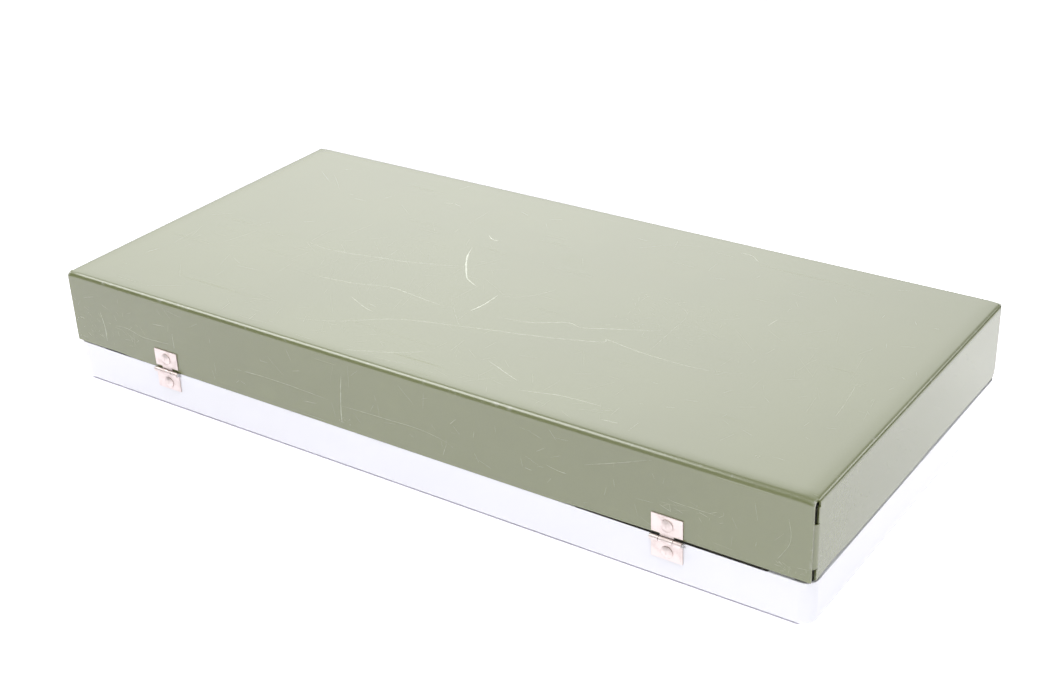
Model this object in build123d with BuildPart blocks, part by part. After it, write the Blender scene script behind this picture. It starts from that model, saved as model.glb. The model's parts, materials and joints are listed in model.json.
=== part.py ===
from build123d import *
import os
from itertools import product
from math import radians, tan

# Sewing box with trays: a folded steel lid on a moulded base, with rolled hinges and clasps.
# Millimetres. X runs along the box, +Y is the hinge side, Z is up, the base stands on Z = 0.

os.makedirs("parts", exist_ok=True)

# Outline shared by the lid and the base
box_length = 400.0
box_width = 192.0

# Lid, folded from one sheet
sheet = 0.8                     # thickness of the lid sheet
lid_height = 37.4               # from the lower edge to the top face
fold_radius = 2.4               # outside radius of the folds along the top
corner_gap = 0.5                # the long walls end this far short of the end faces
end_wall_corner = 5.0           # rounded lower corners of the end walls, in front
front_wall_corner = 3.0         # rounded lower corners of the front wall
hinge_wall_corner = 0.8         # lower corners of the hinge wall, only broken
tab_length = 14.0               # tab of an end wall, tucked behind a long wall
tab_bend_radius = 1.9           # outside radius of the bend into the tab
tab_gap = 0.2                   # between the tab and the long wall
tab_clear_top = 11.0            # open seam above the tab
tab_clear_bottom = 5.8          # open seam below the tab, over the lip of the base
edge_turn = 28                  # degrees, bend of the end walls' edges above and below the tabs

# Base moulding
base_height = 20.1              # outer wall, up to the step under the lid
base_wall = 2.4
base_floor = 2.0
base_corner_radius = 6.0
base_edge_radius = 2.5          # rounded edge around the underside
seam_gap = 0.3                  # between the step and the lower edge of the lid
lip_height = 4.0                # lip that the lid closes over
lip_clearance = 0.4             # between the lip and the lid
lip_lead = 0.5                  # chamfer along the top of the lip
notch_width = 88.0              # gap in the lip beside each hinge and clasp
cell_corner_radius = 4.0
cell_floor_bevel = 1.2

# Runners that carry the trays
runner_width = 4.0
runner_top = 12.0               # height of the runners above the table
guide_thickness = 2.4           # fin between the two trays
guide_rise = 6.0                # fin above the runners
floor_rib = 2.0                 # rib along the floor of the base
rib_drop = 0.6                  # rib below the runners
stop_depth = 6.0                # front stops, measured from the front wall
stop_thickness = 2.4
stop_rise = 4.0
core_wall = 2.0                 # wall left around the hollows under the runners

# Trays
tray_depth = 88.0               # front to back, at the rim
tray_height = 38.0
tray_wall = 1.8
tray_floor = 1.8
tray_corner_radius = 6.0
tray_edge_radius = 2.2          # rounded edge around the underside
tray_floor_radius = 1.5
tray_rim_bevel = 0.5
tray_draft = 1.5                # taper of the walls in degrees
tray_side_clearance = 0.6       # to the wall of the base and to the fin
tray_back_clearance = 3.4       # to the back wall, past the rivets
tray_lift = 0.3                 # running gap over the runners
divider = 1.6
divider_drop = 3.0              # dividers below the rim
grip_radius = 9.0               # finger notch in each end wall
grip_depth = 7.0

# Hinges and clasps, rolled from one kind of strip
hardware_inset = 62.8           # middle of each hinge from the end of the box
leaf_thickness = 0.6
leaf_width = 14.4
leaf_rise = 1.5                 # upper leaf above the lower edge of the lid
upper_leaf_height = 8.6
lower_leaf_height = 8.1
neck_width = 6.6                # middle knuckle
knuckle_gap = 0.2
barrel_drop = 0.8               # pin below the lower edge of the lid
pin_radius = 0.5
pin_clearance = 0.05
pin_head_radius = 0.8
pin_head = 0.3
roll_angle = 280.0              # how far the strip rolls around the pin
flap_length = 12.5              # clasp flap below the pin
flap_lip_out = 1.3
flap_lip_down = 1.4
flap_lip_radius = 1.0
relief_depth = 0.4              # hollow in the base behind each hinge barrel
pocket_depth = 0.6              # hollow in the base behind each clasp flap
pocket_margin = 1.0

# Rivets and studs
rivet_radius = 1.5
rivet_clearance = 0.1
rivet_head_radius = 2.8
rivet_head_height = 1.2
rivet_edge = 0.35               # upright edge of the head, below the dome
clench_radius = 2.3
clench_height = 0.9
washer_radius = 3.5
washer_thickness = 0.8
lower_rivet_drop = 5.9          # rivet of a lower hinge leaf below the pin
stud_drop = 7.4                 # snap stud below the pin
stud_radius = 2.2
stud_clearance = 0.3            # between the stud and the hole in the flap
stud_collar_radius = 3.2
stud_collar = 0.3
stud_rise = 1.0                 # dome of the stud in front of the flap

# Sizes that follow from the ones above
half_length = box_length / 2
half_width = box_width / 2
lid_bottom = base_height + seam_gap
lid_top = lid_bottom + lid_height
lip_step = sheet + lip_clearance
inner_length = half_length - base_wall
inner_width = half_width - base_wall
inner_radius = base_corner_radius - base_wall
rail_half = guide_thickness / 2 + runner_width
barrel_radius = pin_radius + pin_clearance + leaf_thickness
axis_height = lid_bottom - barrel_drop
leaf_foot = barrel_drop + leaf_rise
upper_rivet_rise = leaf_foot + upper_leaf_height / 2
rivet_hole = rivet_radius + rivet_clearance
hardware_x = half_length - hardware_inset
tray_bottom = runner_top + tray_lift
tray_flare = tray_height * tan(radians(tray_draft))
tray_length = inner_length - guide_thickness / 2 - 2 * tray_side_clearance
tray_x = (inner_length + guide_thickness / 2) / 2
tray_y = inner_width - tray_back_clearance - tray_depth / 2
tray_front = tray_y - tray_depth / 2
tray_travel = tray_front + inner_width - stop_depth + tray_flare

LEFT, RIGHT = -1, 1
BACK, FRONT = 1, -1


def seat(side, wall):
    """Plane on a long wall at the height of the pin: X along the wall, Y up, Z outwards."""
    return Plane(
        origin=(side * hardware_x, wall * half_width, axis_height),
        x_dir=(-wall, 0, 0),
        z_dir=(0, wall, 0),
    )


def section(on, rise=0.0, along=0.0):
    """Plane across a seat: X outwards from the wall, Y up."""
    origin = on.origin + on.y_dir * rise - on.x_dir * along
    return Plane(origin=origin, x_dir=on.z_dir, z_dir=-on.x_dir)


def fold(width):
    """Cross-section of the sheet folded down on both sides of the top."""
    with BuildSketch() as profile:
        with Locations((0, lid_bottom)):
            outer = Rectangle(width, lid_height, align=(Align.CENTER, Align.MIN))
        fillet(outer.vertices().group_by(Axis.Y)[-1], fold_radius)
        with BuildSketch(mode=Mode.SUBTRACT):
            with Locations((0, lid_bottom)):
                inner = Rectangle(
                    width - 2 * sheet, lid_height - sheet, align=(Align.CENTER, Align.MIN)
                )
            fillet(inner.vertices().group_by(Axis.Y)[-1], fold_radius - sheet)
    return profile.sketch


def roll(plane, direction, reach):
    """Strip that runs along the wall and rolls around the pin, seen from its edge."""
    middle = leaf_thickness / 2
    with BuildSketch(plane) as profile:
        with BuildLine():
            strip = Line((middle, direction * reach), (middle, 0))
            JernArc(strip @ 1, strip % 1, barrel_radius - middle, direction * roll_angle)
        trace(line_width=leaf_thickness)
    return profile.sketch


def crown(foot, radius, height):
    """Arc from the middle of a domed head down to its rim."""
    return TangentArc((foot + height, 0), (foot, radius), tangent=(0, 1))


def rivet(on, rise, grip):
    """Half-section of a domed rivet through a leaf, clenched behind a wall of that grip."""
    edge = clench_height / 2
    with BuildSketch(section(on, rise)) as profile:
        with BuildLine():
            dome = crown(leaf_thickness + rivet_edge, rivet_head_radius, rivet_head_height - rivet_edge)
            Polyline(
                dome @ 1,
                (leaf_thickness, rivet_head_radius),
                (leaf_thickness, rivet_radius),
                (-grip, rivet_radius),
                (-grip, clench_radius),
                (-grip - edge, clench_radius),
                (-grip - clench_height, clench_radius - edge),
                (-grip - clench_height, 0),
                dome @ 0,
            )
        make_face()
    return profile.sketch


def stud(on):
    """Half-section of a snap stud, clenched behind the thinned wall of the base."""
    grip = base_wall + washer_thickness
    edge = clench_height / 2
    collar = stud_collar - pocket_depth
    with BuildSketch(section(on, -stud_drop)) as profile:
        with BuildLine():
            dome = crown(leaf_thickness, stud_radius, stud_rise)
            Polyline(
                dome @ 1,
                (collar, stud_radius),
                (collar, stud_collar_radius),
                (-pocket_depth, stud_collar_radius),
                (-pocket_depth, rivet_radius),
                (-grip, rivet_radius),
                (-grip, clench_radius),
                (-grip - edge, clench_radius),
                (-grip - clench_height, clench_radius - edge),
                (-grip - clench_height, 0),
                dome @ 0,
            )
        make_face()
    return profile.sketch


def turning(on, rise):
    """Axis of a rivet or stud, outwards through its seat."""
    return Axis(on.origin + on.y_dir * rise, on.z_dir)


def finish(part, name):
    """Name a sub-part and write it."""
    part.label = name
    export_step(part, f"parts/{name}.step")


# Lid shell

with BuildPart() as lid_shell:
    end_flat = half_width - sheet - tab_gap - tab_bend_radius
    extrude(Plane.YZ * fold(box_width), amount=half_length - corner_gap, both=True)
    extrude(Plane.XZ * fold(box_length), amount=end_flat, both=True)
    # Lower corners of the walls
    lower = lid_shell.edges().group_by(Axis.Z)[0]
    short = lower.filter_by(lambda edge: edge.length < 2 * sheet)
    end_corners = short.filter_by(Axis.X)
    long_corners = short.filter_by(Axis.Y)
    fillet(end_corners.group_by(Axis.Y)[0], end_wall_corner)
    fillet(long_corners.group_by(Axis.Y)[0], front_wall_corner)
    fillet(long_corners.group_by(Axis.Y)[-1], hinge_wall_corner)
    # Turned edges of the end walls, which start above the rounded corners in front
    tab_x = half_length - sheet / 2
    tab_y = half_width - sheet - tab_gap - sheet / 2
    for turn_y, edge_start in ((FRONT, tab_clear_bottom), (BACK, 0)):
        with BuildSketch(Plane.XY.offset(lid_bottom + edge_start)):
            with BuildLine():
                for turn_x in (LEFT, RIGHT):
                    flat_start = (turn_x * tab_x, turn_y * (end_flat - sheet))
                    flat_end = (turn_x * tab_x, turn_y * end_flat)
                    flat = Line(flat_start, flat_end)
                    bend_radius = tab_bend_radius - sheet / 2
                    JernArc(flat @ 1, flat % 1, bend_radius, turn_x * turn_y * edge_turn)
            trace(line_width=sheet)
        extrude(amount=lid_height - fold_radius - edge_start)
    # Tabs of the end walls, behind the long walls
    with BuildSketch(Plane.XY.offset(lid_bottom + tab_clear_bottom)):
        with BuildLine():
            for turn_x, turn_y in product((LEFT, RIGHT), (FRONT, BACK)):
                FilletPolyline(
                    (turn_x * tab_x, turn_y * (end_flat - sheet)),
                    (turn_x * tab_x, turn_y * tab_y),
                    (turn_x * (half_length - tab_length), turn_y * tab_y),
                    radius=tab_bend_radius - sheet / 2,
                )
        trace(line_width=sheet)
    extrude(amount=lid_height - tab_clear_top - tab_clear_bottom)
    # Rivet holes of the hinges and the clasps
    with Locations([(side * hardware_x, 0, axis_height + upper_rivet_rise) for side in (LEFT, RIGHT)]):
        Cylinder(rivet_hole, 2 * box_width, rotation=(90, 0, 0), mode=Mode.SUBTRACT)
finish(lid_shell.part, "lid_shell")


# Base shell

cell_length = inner_length - runner_width - rail_half
cell_width = inner_width - floor_rib / 2
cell_pitch_x = inner_length - runner_width + rail_half
cell_pitch_y = inner_width + floor_rib / 2

with BuildPart() as base_shell:
    with BuildSketch():
        RectangleRounded(box_length, box_width, base_corner_radius)
    extrude(amount=base_height)
    fillet(base_shell.faces().sort_by(Axis.Z)[0].edges(), base_edge_radius)
    # Lip inside the lid
    with BuildSketch(Plane.XY.offset(base_floor)):
        RectangleRounded(box_length - 2 * lip_step, box_width - 2 * lip_step, base_corner_radius - lip_step)
    extrude(amount=base_height + lip_height - base_floor)
    chamfer(base_shell.faces().sort_by(Axis.Z)[-1].edges(), lip_lead)
    # Open space above the runners, and the four cells between them
    with BuildSketch(Plane.XY.offset(runner_top)):
        RectangleRounded(2 * inner_length, 2 * inner_width, inner_radius)
    extrude(amount=base_height + lip_height - runner_top, mode=Mode.SUBTRACT)
    with BuildSketch(Plane.XY.offset(base_floor)):
        with GridLocations(cell_pitch_x, cell_pitch_y, 2, 2):
            RectangleRounded(cell_length, cell_width, cell_corner_radius)
    extrude(amount=runner_top - base_floor, mode=Mode.SUBTRACT)
    with BuildSketch(Plane.XY.offset(runner_top - rib_drop)):
        with GridLocations(cell_pitch_x, 0, 2, 1):
            Rectangle(cell_length, floor_rib + 2 * cell_corner_radius)
    extrude(amount=rib_drop, mode=Mode.SUBTRACT)
    floors = base_shell.faces().filter_by(lambda face: abs(face.center().Z - base_floor) < 0.01)
    chamfer(floors.edges(), cell_floor_bevel)
    # Fin between the trays, and the front stops
    with BuildSketch(Plane.XY.offset(runner_top - rib_drop)):
        Rectangle(guide_thickness, 2 * inner_width)
    extrude(amount=guide_rise + rib_drop)
    stop_y = stop_depth - inner_width - stop_thickness / 2
    stop_spread = (inner_length - runner_width / 2, (guide_thickness + runner_width) / 2)
    with BuildSketch(Plane.XY.offset(runner_top - rib_drop)):
        with Locations([(side * x, stop_y) for side, x in product((LEFT, RIGHT), stop_spread)]):
            Rectangle(runner_width, stop_thickness)
    extrude(amount=stop_rise + rib_drop)
    # Hollows under the runners
    hollow_length = 2 * (half_width - base_corner_radius - core_wall)
    with BuildSketch():
        Rectangle(2 * (rail_half - core_wall), hollow_length)
        with GridLocations(2 * half_length - base_wall - runner_width, 0, 2, 1):
            Rectangle(base_wall + runner_width - 2 * core_wall, hollow_length)
    extrude(amount=runner_top - core_wall, mode=Mode.SUBTRACT)
    # Gaps in the lip, hollows behind the barrels and the flaps
    lip_middle = half_width - (lip_step + base_wall) / 2
    with BuildSketch(Plane.XY.offset(base_height)):
        with GridLocations(2 * hardware_x, 2 * lip_middle, 2, 2):
            Rectangle(notch_width, 2 * base_wall)
    extrude(amount=lip_height, mode=Mode.SUBTRACT)
    for side in (LEFT, RIGHT):
        relief_top = base_height - axis_height
        with BuildSketch(seat(side, BACK)):
            with Locations((0, relief_top)):
                Rectangle(
                    leaf_width + 2 * pocket_margin,
                    relief_top + barrel_radius + knuckle_gap,
                    align=(Align.CENTER, Align.MAX),
                )
        extrude(amount=-relief_depth, mode=Mode.SUBTRACT)
        with BuildSketch(seat(side, FRONT)):
            with Locations((0, relief_top)):
                Rectangle(
                    leaf_width + 2 * pocket_margin,
                    relief_top + flap_length + flap_lip_down + pocket_margin,
                    align=(Align.CENTER, Align.MAX),
                )
        extrude(amount=-pocket_depth, mode=Mode.SUBTRACT)
        # Holes for the rivet of the hinge and for the stud of the clasp
        with BuildSketch(seat(side, BACK)):
            with Locations((0, -lower_rivet_drop)):
                Circle(rivet_hole)
        extrude(amount=-2 * base_wall, mode=Mode.SUBTRACT)
        with BuildSketch(seat(side, FRONT)):
            with Locations((0, -stud_drop)):
                Circle(rivet_hole)
        extrude(amount=-2 * base_wall, mode=Mode.SUBTRACT)
finish(base_shell.part, "base_shell")


# Leaves of the hinges and the clasps

def upper_leaf(on):
    """Leaf on the lid, with the middle knuckle."""
    with BuildPart() as leaf:
        with BuildSketch(on):
            with Locations((0, leaf_foot)):
                Rectangle(leaf_width, upper_leaf_height, align=(Align.CENTER, Align.MIN))
            with Locations((0, upper_rivet_rise)):
                Circle(rivet_hole, mode=Mode.SUBTRACT)
        extrude(amount=leaf_thickness)
        neck = neck_width / 2 - knuckle_gap / 2
        extrude(roll(section(on), 1, leaf_foot + leaf_thickness), amount=neck, both=True)
    return leaf.part


def outer_knuckles(on, reach):
    """The two knuckles on each side of the middle one, with the strips that carry them."""
    inner = neck_width / 2 + knuckle_gap / 2
    width = leaf_width / 2 - inner
    for along in (inner, -leaf_width / 2):
        extrude(roll(section(on, along=along), -1, reach), amount=width)


def lower_leaf(on):
    """Leaf on the base, with the two outer knuckles."""
    top = barrel_radius + knuckle_gap
    with BuildPart() as leaf:
        with BuildSketch(on):
            with Locations((0, -top)):
                Rectangle(leaf_width, lower_leaf_height, align=(Align.CENTER, Align.MAX))
            with Locations((0, -lower_rivet_drop)):
                Circle(rivet_hole, mode=Mode.SUBTRACT)
        extrude(amount=leaf_thickness)
        outer_knuckles(on, top + leaf_thickness)
    return leaf.part


def flap(on):
    """Clasp flap: two outer knuckles, a hole for the stud and a lip for a finger."""
    top = barrel_radius + knuckle_gap
    middle = leaf_thickness / 2
    with BuildPart() as leaf:
        with BuildSketch(section(on)):
            with BuildLine():
                FilletPolyline(
                    (middle, -top),
                    (middle, -flap_length),
                    (middle + flap_lip_out, -flap_length - flap_lip_down),
                    radius=flap_lip_radius,
                )
            trace(line_width=leaf_thickness)
        extrude(amount=leaf_width / 2, both=True)
        outer_knuckles(on, top + leaf_thickness)
        with BuildSketch(on):
            with Locations((0, -stud_drop)):
                Circle(stud_radius + stud_clearance)
        extrude(amount=leaf_thickness, mode=Mode.SUBTRACT)
    return leaf.part


def pin(on):
    """Pin through the knuckles, headed at both ends."""
    span = leaf_width / 2 + knuckle_gap
    with BuildPart() as rod:
        with BuildSketch(section(on)):
            with Locations((barrel_radius, 0)):
                Circle(pin_radius)
        extrude(amount=span, both=True)
        for along in (span, -span - pin_head):
            with BuildSketch(section(on, along=along)):
                with Locations((barrel_radius, 0)):
                    Circle(pin_head_radius)
            extrude(amount=pin_head)
    return rod.part


for side, word in ((LEFT, "left"), (RIGHT, "right")):
    finish(upper_leaf(seat(side, BACK)), f"{word}_hinge_upper_leaf")
    finish(lower_leaf(seat(side, BACK)), f"{word}_hinge_lower_leaf")
    finish(pin(seat(side, BACK)), f"{word}_hinge_pin")
    finish(upper_leaf(seat(side, FRONT)), f"{word}_clasp_leaf")
    finish(flap(seat(side, FRONT)), f"{word}_clasp_flap")
    finish(pin(seat(side, FRONT)), f"{word}_clasp_pin")
    with BuildPart() as clasp_stud:
        revolve(stud(seat(side, FRONT)), axis=turning(seat(side, FRONT), -stud_drop))
    finish(clasp_stud.part, f"{word}_clasp_stud")


# Rivets and washers, each kind a group

with BuildPart() as hinge_lid_rivets:
    for side in (LEFT, RIGHT):
        back = seat(side, BACK)
        revolve(rivet(back, upper_rivet_rise, sheet), axis=turning(back, upper_rivet_rise))
finish(hinge_lid_rivets.part, "hinge_lid_rivets")

with BuildPart() as clasp_lid_rivets:
    for side in (LEFT, RIGHT):
        front = seat(side, FRONT)
        revolve(rivet(front, upper_rivet_rise, sheet), axis=turning(front, upper_rivet_rise))
finish(clasp_lid_rivets.part, "clasp_lid_rivets")

with BuildPart() as hinge_base_rivets:
    for side in (LEFT, RIGHT):
        back = seat(side, BACK)
        through_wall = rivet(back, -lower_rivet_drop, base_wall + washer_thickness)
        revolve(through_wall, axis=turning(back, -lower_rivet_drop))
finish(hinge_base_rivets.part, "hinge_base_rivets")

with BuildPart() as base_washers:
    for side, (wall, drop) in product((LEFT, RIGHT), ((BACK, lower_rivet_drop), (FRONT, stud_drop))):
        with BuildSketch(seat(side, wall).offset(-base_wall)):
            with Locations((0, -drop)):
                Circle(washer_radius)
                Circle(rivet_hole, mode=Mode.SUBTRACT)
        extrude(amount=-washer_thickness)
finish(base_washers.part, "base_washers")


# Trays

def tray(side, long_walls, cross_walls):
    """Tray on its runners, with dividers at the given shares of its depth and length."""
    floor_level = tray_bottom + tray_floor
    top = tray_bottom + tray_height
    centre = Vector(side * tray_x, tray_y, 0)
    foot_length = tray_length - 2 * tray_flare
    foot_depth = tray_depth - 2 * tray_flare
    inset = 2 * (tray_wall - tray_floor * tan(radians(tray_draft)))
    with BuildPart() as body:
        with BuildSketch(Plane(origin=centre + Vector(0, 0, tray_bottom))):
            RectangleRounded(foot_length, foot_depth, tray_corner_radius - tray_flare)
        extrude(amount=tray_height, taper=-tray_draft)
        fillet(body.faces().sort_by(Axis.Z)[0].edges(), tray_edge_radius)
        with BuildSketch(Plane(origin=centre + Vector(0, 0, floor_level))):
            RectangleRounded(
                foot_length - inset, foot_depth - inset, tray_corner_radius - tray_flare - inset / 2
            )
        extrude(amount=tray_height - tray_floor, taper=-tray_draft, mode=Mode.SUBTRACT)
        chamfer(body.faces().sort_by(Axis.Z)[-1].edges(), tray_rim_bevel)
        inside = body.faces().filter_by(lambda face: abs(face.center().Z - floor_level) < 0.01)
        fillet(inside.edges(), tray_floor_radius)
        # Dividers, which end inside the walls
        reach_x = foot_length - tray_wall + tray_flare
        reach_y = foot_depth - tray_wall + tray_flare
        with BuildSketch(Plane(origin=centre + Vector(0, 0, floor_level - tray_floor / 2))):
            for share in long_walls:
                with Locations((0, share * tray_depth)):
                    Rectangle(reach_x, divider)
            for share, low, high in cross_walls:
                near, far = low * reach_y, high * reach_y
                with Locations((share * tray_length, (near + far) / 2)):
                    Rectangle(divider, far - near)
        extrude(amount=tray_height - tray_floor / 2 - divider_drop)
        # Finger notches in the end walls
        with Locations(
            [centre + Vector(end * tray_length / 2, 0, top + grip_radius - grip_depth) for end in (-1, 1)]
        ):
            Cylinder(grip_radius, 4 * tray_wall + 2 * tray_flare, rotation=(0, 90, 0), mode=Mode.SUBTRACT)
    return body.part


# Shares of the depth and the length, measured from the middle of a tray
long_share = 0.04               # the long divider, a little behind the middle
front_share = -0.5              # the two ends of a divider from front to back
back_share = 0.5
cross_shares = (-1 / 6, 1 / 6)  # two cross dividers make three equal columns
finish(
    tray(LEFT, (long_share,), [(share, front_share, long_share) for share in cross_shares]),
    "left_tray",
)
finish(
    tray(RIGHT, (long_share,), [(share, front_share, back_share) for share in cross_shares]),
    "right_tray",
)

print(f"pin axis: y = {half_width + barrel_radius:.3f} mm, z = {axis_height:.3f} mm")
print(f"tray travel: {tray_travel:.2f} mm")
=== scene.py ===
"""Looks of the sewing box: its finishes, its wear and a plain studio around it.

Lengths are in metres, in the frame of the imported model: X along the box, +Y the hinge side, Z up.
"""

import json
import logging
import math
from dataclasses import dataclass, field, replace
from enum import Enum
from typing import Any, Sequence

import bmesh
import bpy
from bpy.types import Material, Mesh, NodeSocket, NodeTree, Object
from mathutils import Matrix, Vector

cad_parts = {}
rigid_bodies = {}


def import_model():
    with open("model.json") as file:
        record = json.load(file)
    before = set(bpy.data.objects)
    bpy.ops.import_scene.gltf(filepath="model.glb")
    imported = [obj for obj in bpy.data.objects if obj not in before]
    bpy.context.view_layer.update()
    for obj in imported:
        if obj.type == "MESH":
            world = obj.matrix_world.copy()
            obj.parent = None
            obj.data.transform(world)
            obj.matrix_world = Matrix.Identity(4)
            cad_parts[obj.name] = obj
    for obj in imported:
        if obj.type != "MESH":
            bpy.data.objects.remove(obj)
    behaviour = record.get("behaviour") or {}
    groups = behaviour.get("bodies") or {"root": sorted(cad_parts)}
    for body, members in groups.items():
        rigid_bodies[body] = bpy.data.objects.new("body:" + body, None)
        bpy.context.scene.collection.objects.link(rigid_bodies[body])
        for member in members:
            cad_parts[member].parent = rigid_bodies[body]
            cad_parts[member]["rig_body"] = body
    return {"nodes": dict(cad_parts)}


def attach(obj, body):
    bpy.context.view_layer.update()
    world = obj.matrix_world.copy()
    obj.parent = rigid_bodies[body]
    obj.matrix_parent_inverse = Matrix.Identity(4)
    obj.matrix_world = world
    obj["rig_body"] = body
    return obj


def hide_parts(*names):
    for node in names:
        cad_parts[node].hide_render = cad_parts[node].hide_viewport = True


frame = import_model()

Colour = tuple[float, float, float]
Triple = tuple[float, float, float]
Pair = tuple[float, float]
Stroke = Sequence[Pair]

MM = 0.001
BOX_LENGTH = 0.4
BOX_WIDTH = 0.192
LID_TOP = 0.0578
LID_EDGE = 0.0204
WELD = 0.001 * MM
TOUCH = 0.01 * MM
EASED_STEPS = 2
AREA_WEIGHT = 100

OLIVE = (0.112, 0.126, 0.048)
ENAMEL_IOR = 1.9
WHITE_LIGHT = (1.0, 1.0, 1.0, 1.0)
NOISE_MIDDLE = (0.5, 0.5, 0.5)

HALF_WIDTH = "half_width"
PALENESS = "paleness"

log = logging.getLogger("sewing_box")


# Node trees


@dataclass(frozen=True)
class Clouds:
    """A random pattern: its lumps to a metre, the levels between which it fades in, and how fine it is.

    A turn in degrees and a stretch along the three axes give it a direction.
    """

    scale: float
    low: float = 0.3
    high: float = 0.7
    detail: float = 2.0
    rough: float = 0.5
    turn: Triple = (0.0, 0.0, 0.0)
    stretch: Triple = (1.0, 1.0, 1.0)


class Graph:
    """A node tree that is filled by short calls, each of which returns an output socket."""

    def __init__(self, tree: NodeTree) -> None:
        """Start from an empty tree."""
        self.tree = tree
        tree.nodes.clear()

    def add(
        self, kind: str, inputs: dict[Any, Any] | None = None, out: Any = 0, **settings: Any
    ) -> NodeSocket:
        """Add one node.

        Args:
            kind: The node's type.
            inputs: Values or output sockets, by the name or index of the input.
            out: Name or index of the wanted output.
            settings: Properties of the node.

        Returns:
            The wanted output socket.
        """
        node = self.tree.nodes.new(kind)
        for key, value in settings.items():
            setattr(node, key, value)
        for key, value in (inputs or {}).items():
            self.put(node.inputs[key], value)
        return node.outputs[out]

    def put(self, socket: NodeSocket, value: Any) -> None:
        """Set an input to a value, or link it to an output socket.

        Args:
            socket: The input.
            value: A value or an output socket.
        """
        if isinstance(value, NodeSocket):
            self.tree.links.new(value, socket)
        else:
            socket.default_value = value

    def math(self, operation: str, *values: Any) -> NodeSocket:
        """Combine numbers by one operation."""
        return self.add("ShaderNodeMath", dict(enumerate(values)), operation=operation)

    def vector(self, operation: str, *values: Any) -> NodeSocket:
        """Combine vectors by one operation that gives a vector."""
        return self.add("ShaderNodeVectorMath", dict(enumerate(values)), operation=operation)

    def along(self, value: Any, direction: Any) -> NodeSocket:
        """Give the part of a vector that lies along a direction, as a number."""
        sockets = {0: value, 1: direction}
        return self.add("ShaderNodeVectorMath", sockets, out="Value", operation="DOT_PRODUCT")

    def length(self, value: Any) -> NodeSocket:
        """Give the length of a vector."""
        return self.add("ShaderNodeVectorMath", {0: value}, out="Value", operation="LENGTH")

    def scaled(self, value: Any, scale: Any) -> NodeSocket:
        """Make a vector longer or shorter."""
        return self.add("ShaderNodeVectorMath", {0: value, "Scale": scale}, operation="SCALE")

    def ramp(self, value: Any, low: float, high: float, start: float = 0.0, end: float = 1.0) -> NodeSocket:
        """Turn a number between two limits smoothly into another range.

        Args:
            value: The number to read.
            low: The limit that gives the start.
            high: The limit that gives the end.
            start: Result at the low limit.
            end: Result at the high limit.

        Returns:
            The new number.
        """
        sockets = {"Value": value, "From Min": low, "From Max": high, "To Min": start, "To Max": end}
        return self.add("ShaderNodeMapRange", sockets, interpolation_type="SMOOTHSTEP")

    def noise(self, place: Any, clouds: Clouds, out: Any = 0) -> NodeSocket:
        """Give the bare pattern of some clouds at a place, as a number or as a colour."""
        fineness = {"Scale": clouds.scale, "Detail": clouds.detail, "Roughness": clouds.rough}
        return self.add("ShaderNodeTexNoise", {"Vector": place, **fineness}, out=out)

    def fade(self, pattern: Any, clouds: Clouds, start: float = 0.0, end: float = 1.0) -> NodeSocket:
        """Let the bare pattern of some clouds fade from a start to an end."""
        return self.ramp(pattern, clouds.low, clouds.high, start, end)

    def blend(self, share: Any, first: Any, second: Any) -> NodeSocket:
        """Mix two colours by a share of the second."""
        return self.add("ShaderNodeMix", {0: share, 6: first, 7: second}, out=2, data_type="RGBA")


class Surface(Graph):
    """A material with one surface, whose patterns read Object coordinates."""

    def __init__(self, name: str) -> None:
        """Make the material with its shader and its coordinates.

        Args:
            name: Name of the material.
        """
        self.material = bpy.data.materials.new(name)
        self.material.use_nodes = True
        super().__init__(self.material.node_tree)
        self.shader = self.tree.nodes.new("ShaderNodeBsdfPrincipled")
        output = self.tree.nodes.new("ShaderNodeOutputMaterial")
        self.tree.links.new(self.shader.outputs["BSDF"], output.inputs["Surface"])
        self.place = self.add("ShaderNodeTexCoord", out="Object")

    def give(self, **sockets: Any) -> None:
        """Set or link sockets of the shader, whose names are written with underscores for spaces."""
        for key, value in sockets.items():
            self.put(self.shader.inputs[key.replace("_", " ")], value)

    def axes(self) -> list[NodeSocket]:
        """Split the coordinates into their three numbers.

        Returns:
            The sockets of X, Y and Z.
        """
        node = self.tree.nodes.new("ShaderNodeSeparateXYZ")
        self.tree.links.new(self.place, node.inputs[0])
        return list(node.outputs)

    def pattern(self, clouds: Clouds) -> NodeSocket:
        """Give the bare pattern of some clouds, in the direction that they have.

        Args:
            clouds: The clouds.

        Returns:
            The pattern, which is about 0.5 on average.
        """
        angles = tuple(math.radians(a) for a in clouds.turn)
        sockets = {"Vector": self.place, "Rotation": angles, "Scale": clouds.stretch}
        return self.noise(self.add("ShaderNodeMapping", sockets), clouds)

    def spread(self, clouds: Clouds, start: float = 0.0, end: float = 1.0) -> NodeSocket:
        """Give some clouds as a share that goes from a start to an end."""
        return self.fade(self.pattern(clouds), clouds, start, end)

    def bump(self, height: Any, distance: float, under: NodeSocket | None = None) -> NodeSocket:
        """Raise the surface by a pattern.

        Args:
            height: The pattern, from 0 to 1.
            distance: Height of the pattern in metres.
            under: The normal of a coarser pattern below this one.

        Returns:
            The new normal.
        """
        sockets = {"Height": height, "Distance": distance, "Strength": 1.0}
        if under is not None:
            sockets["Normal"] = under
        return self.add("ShaderNodeBump", sockets)


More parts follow.
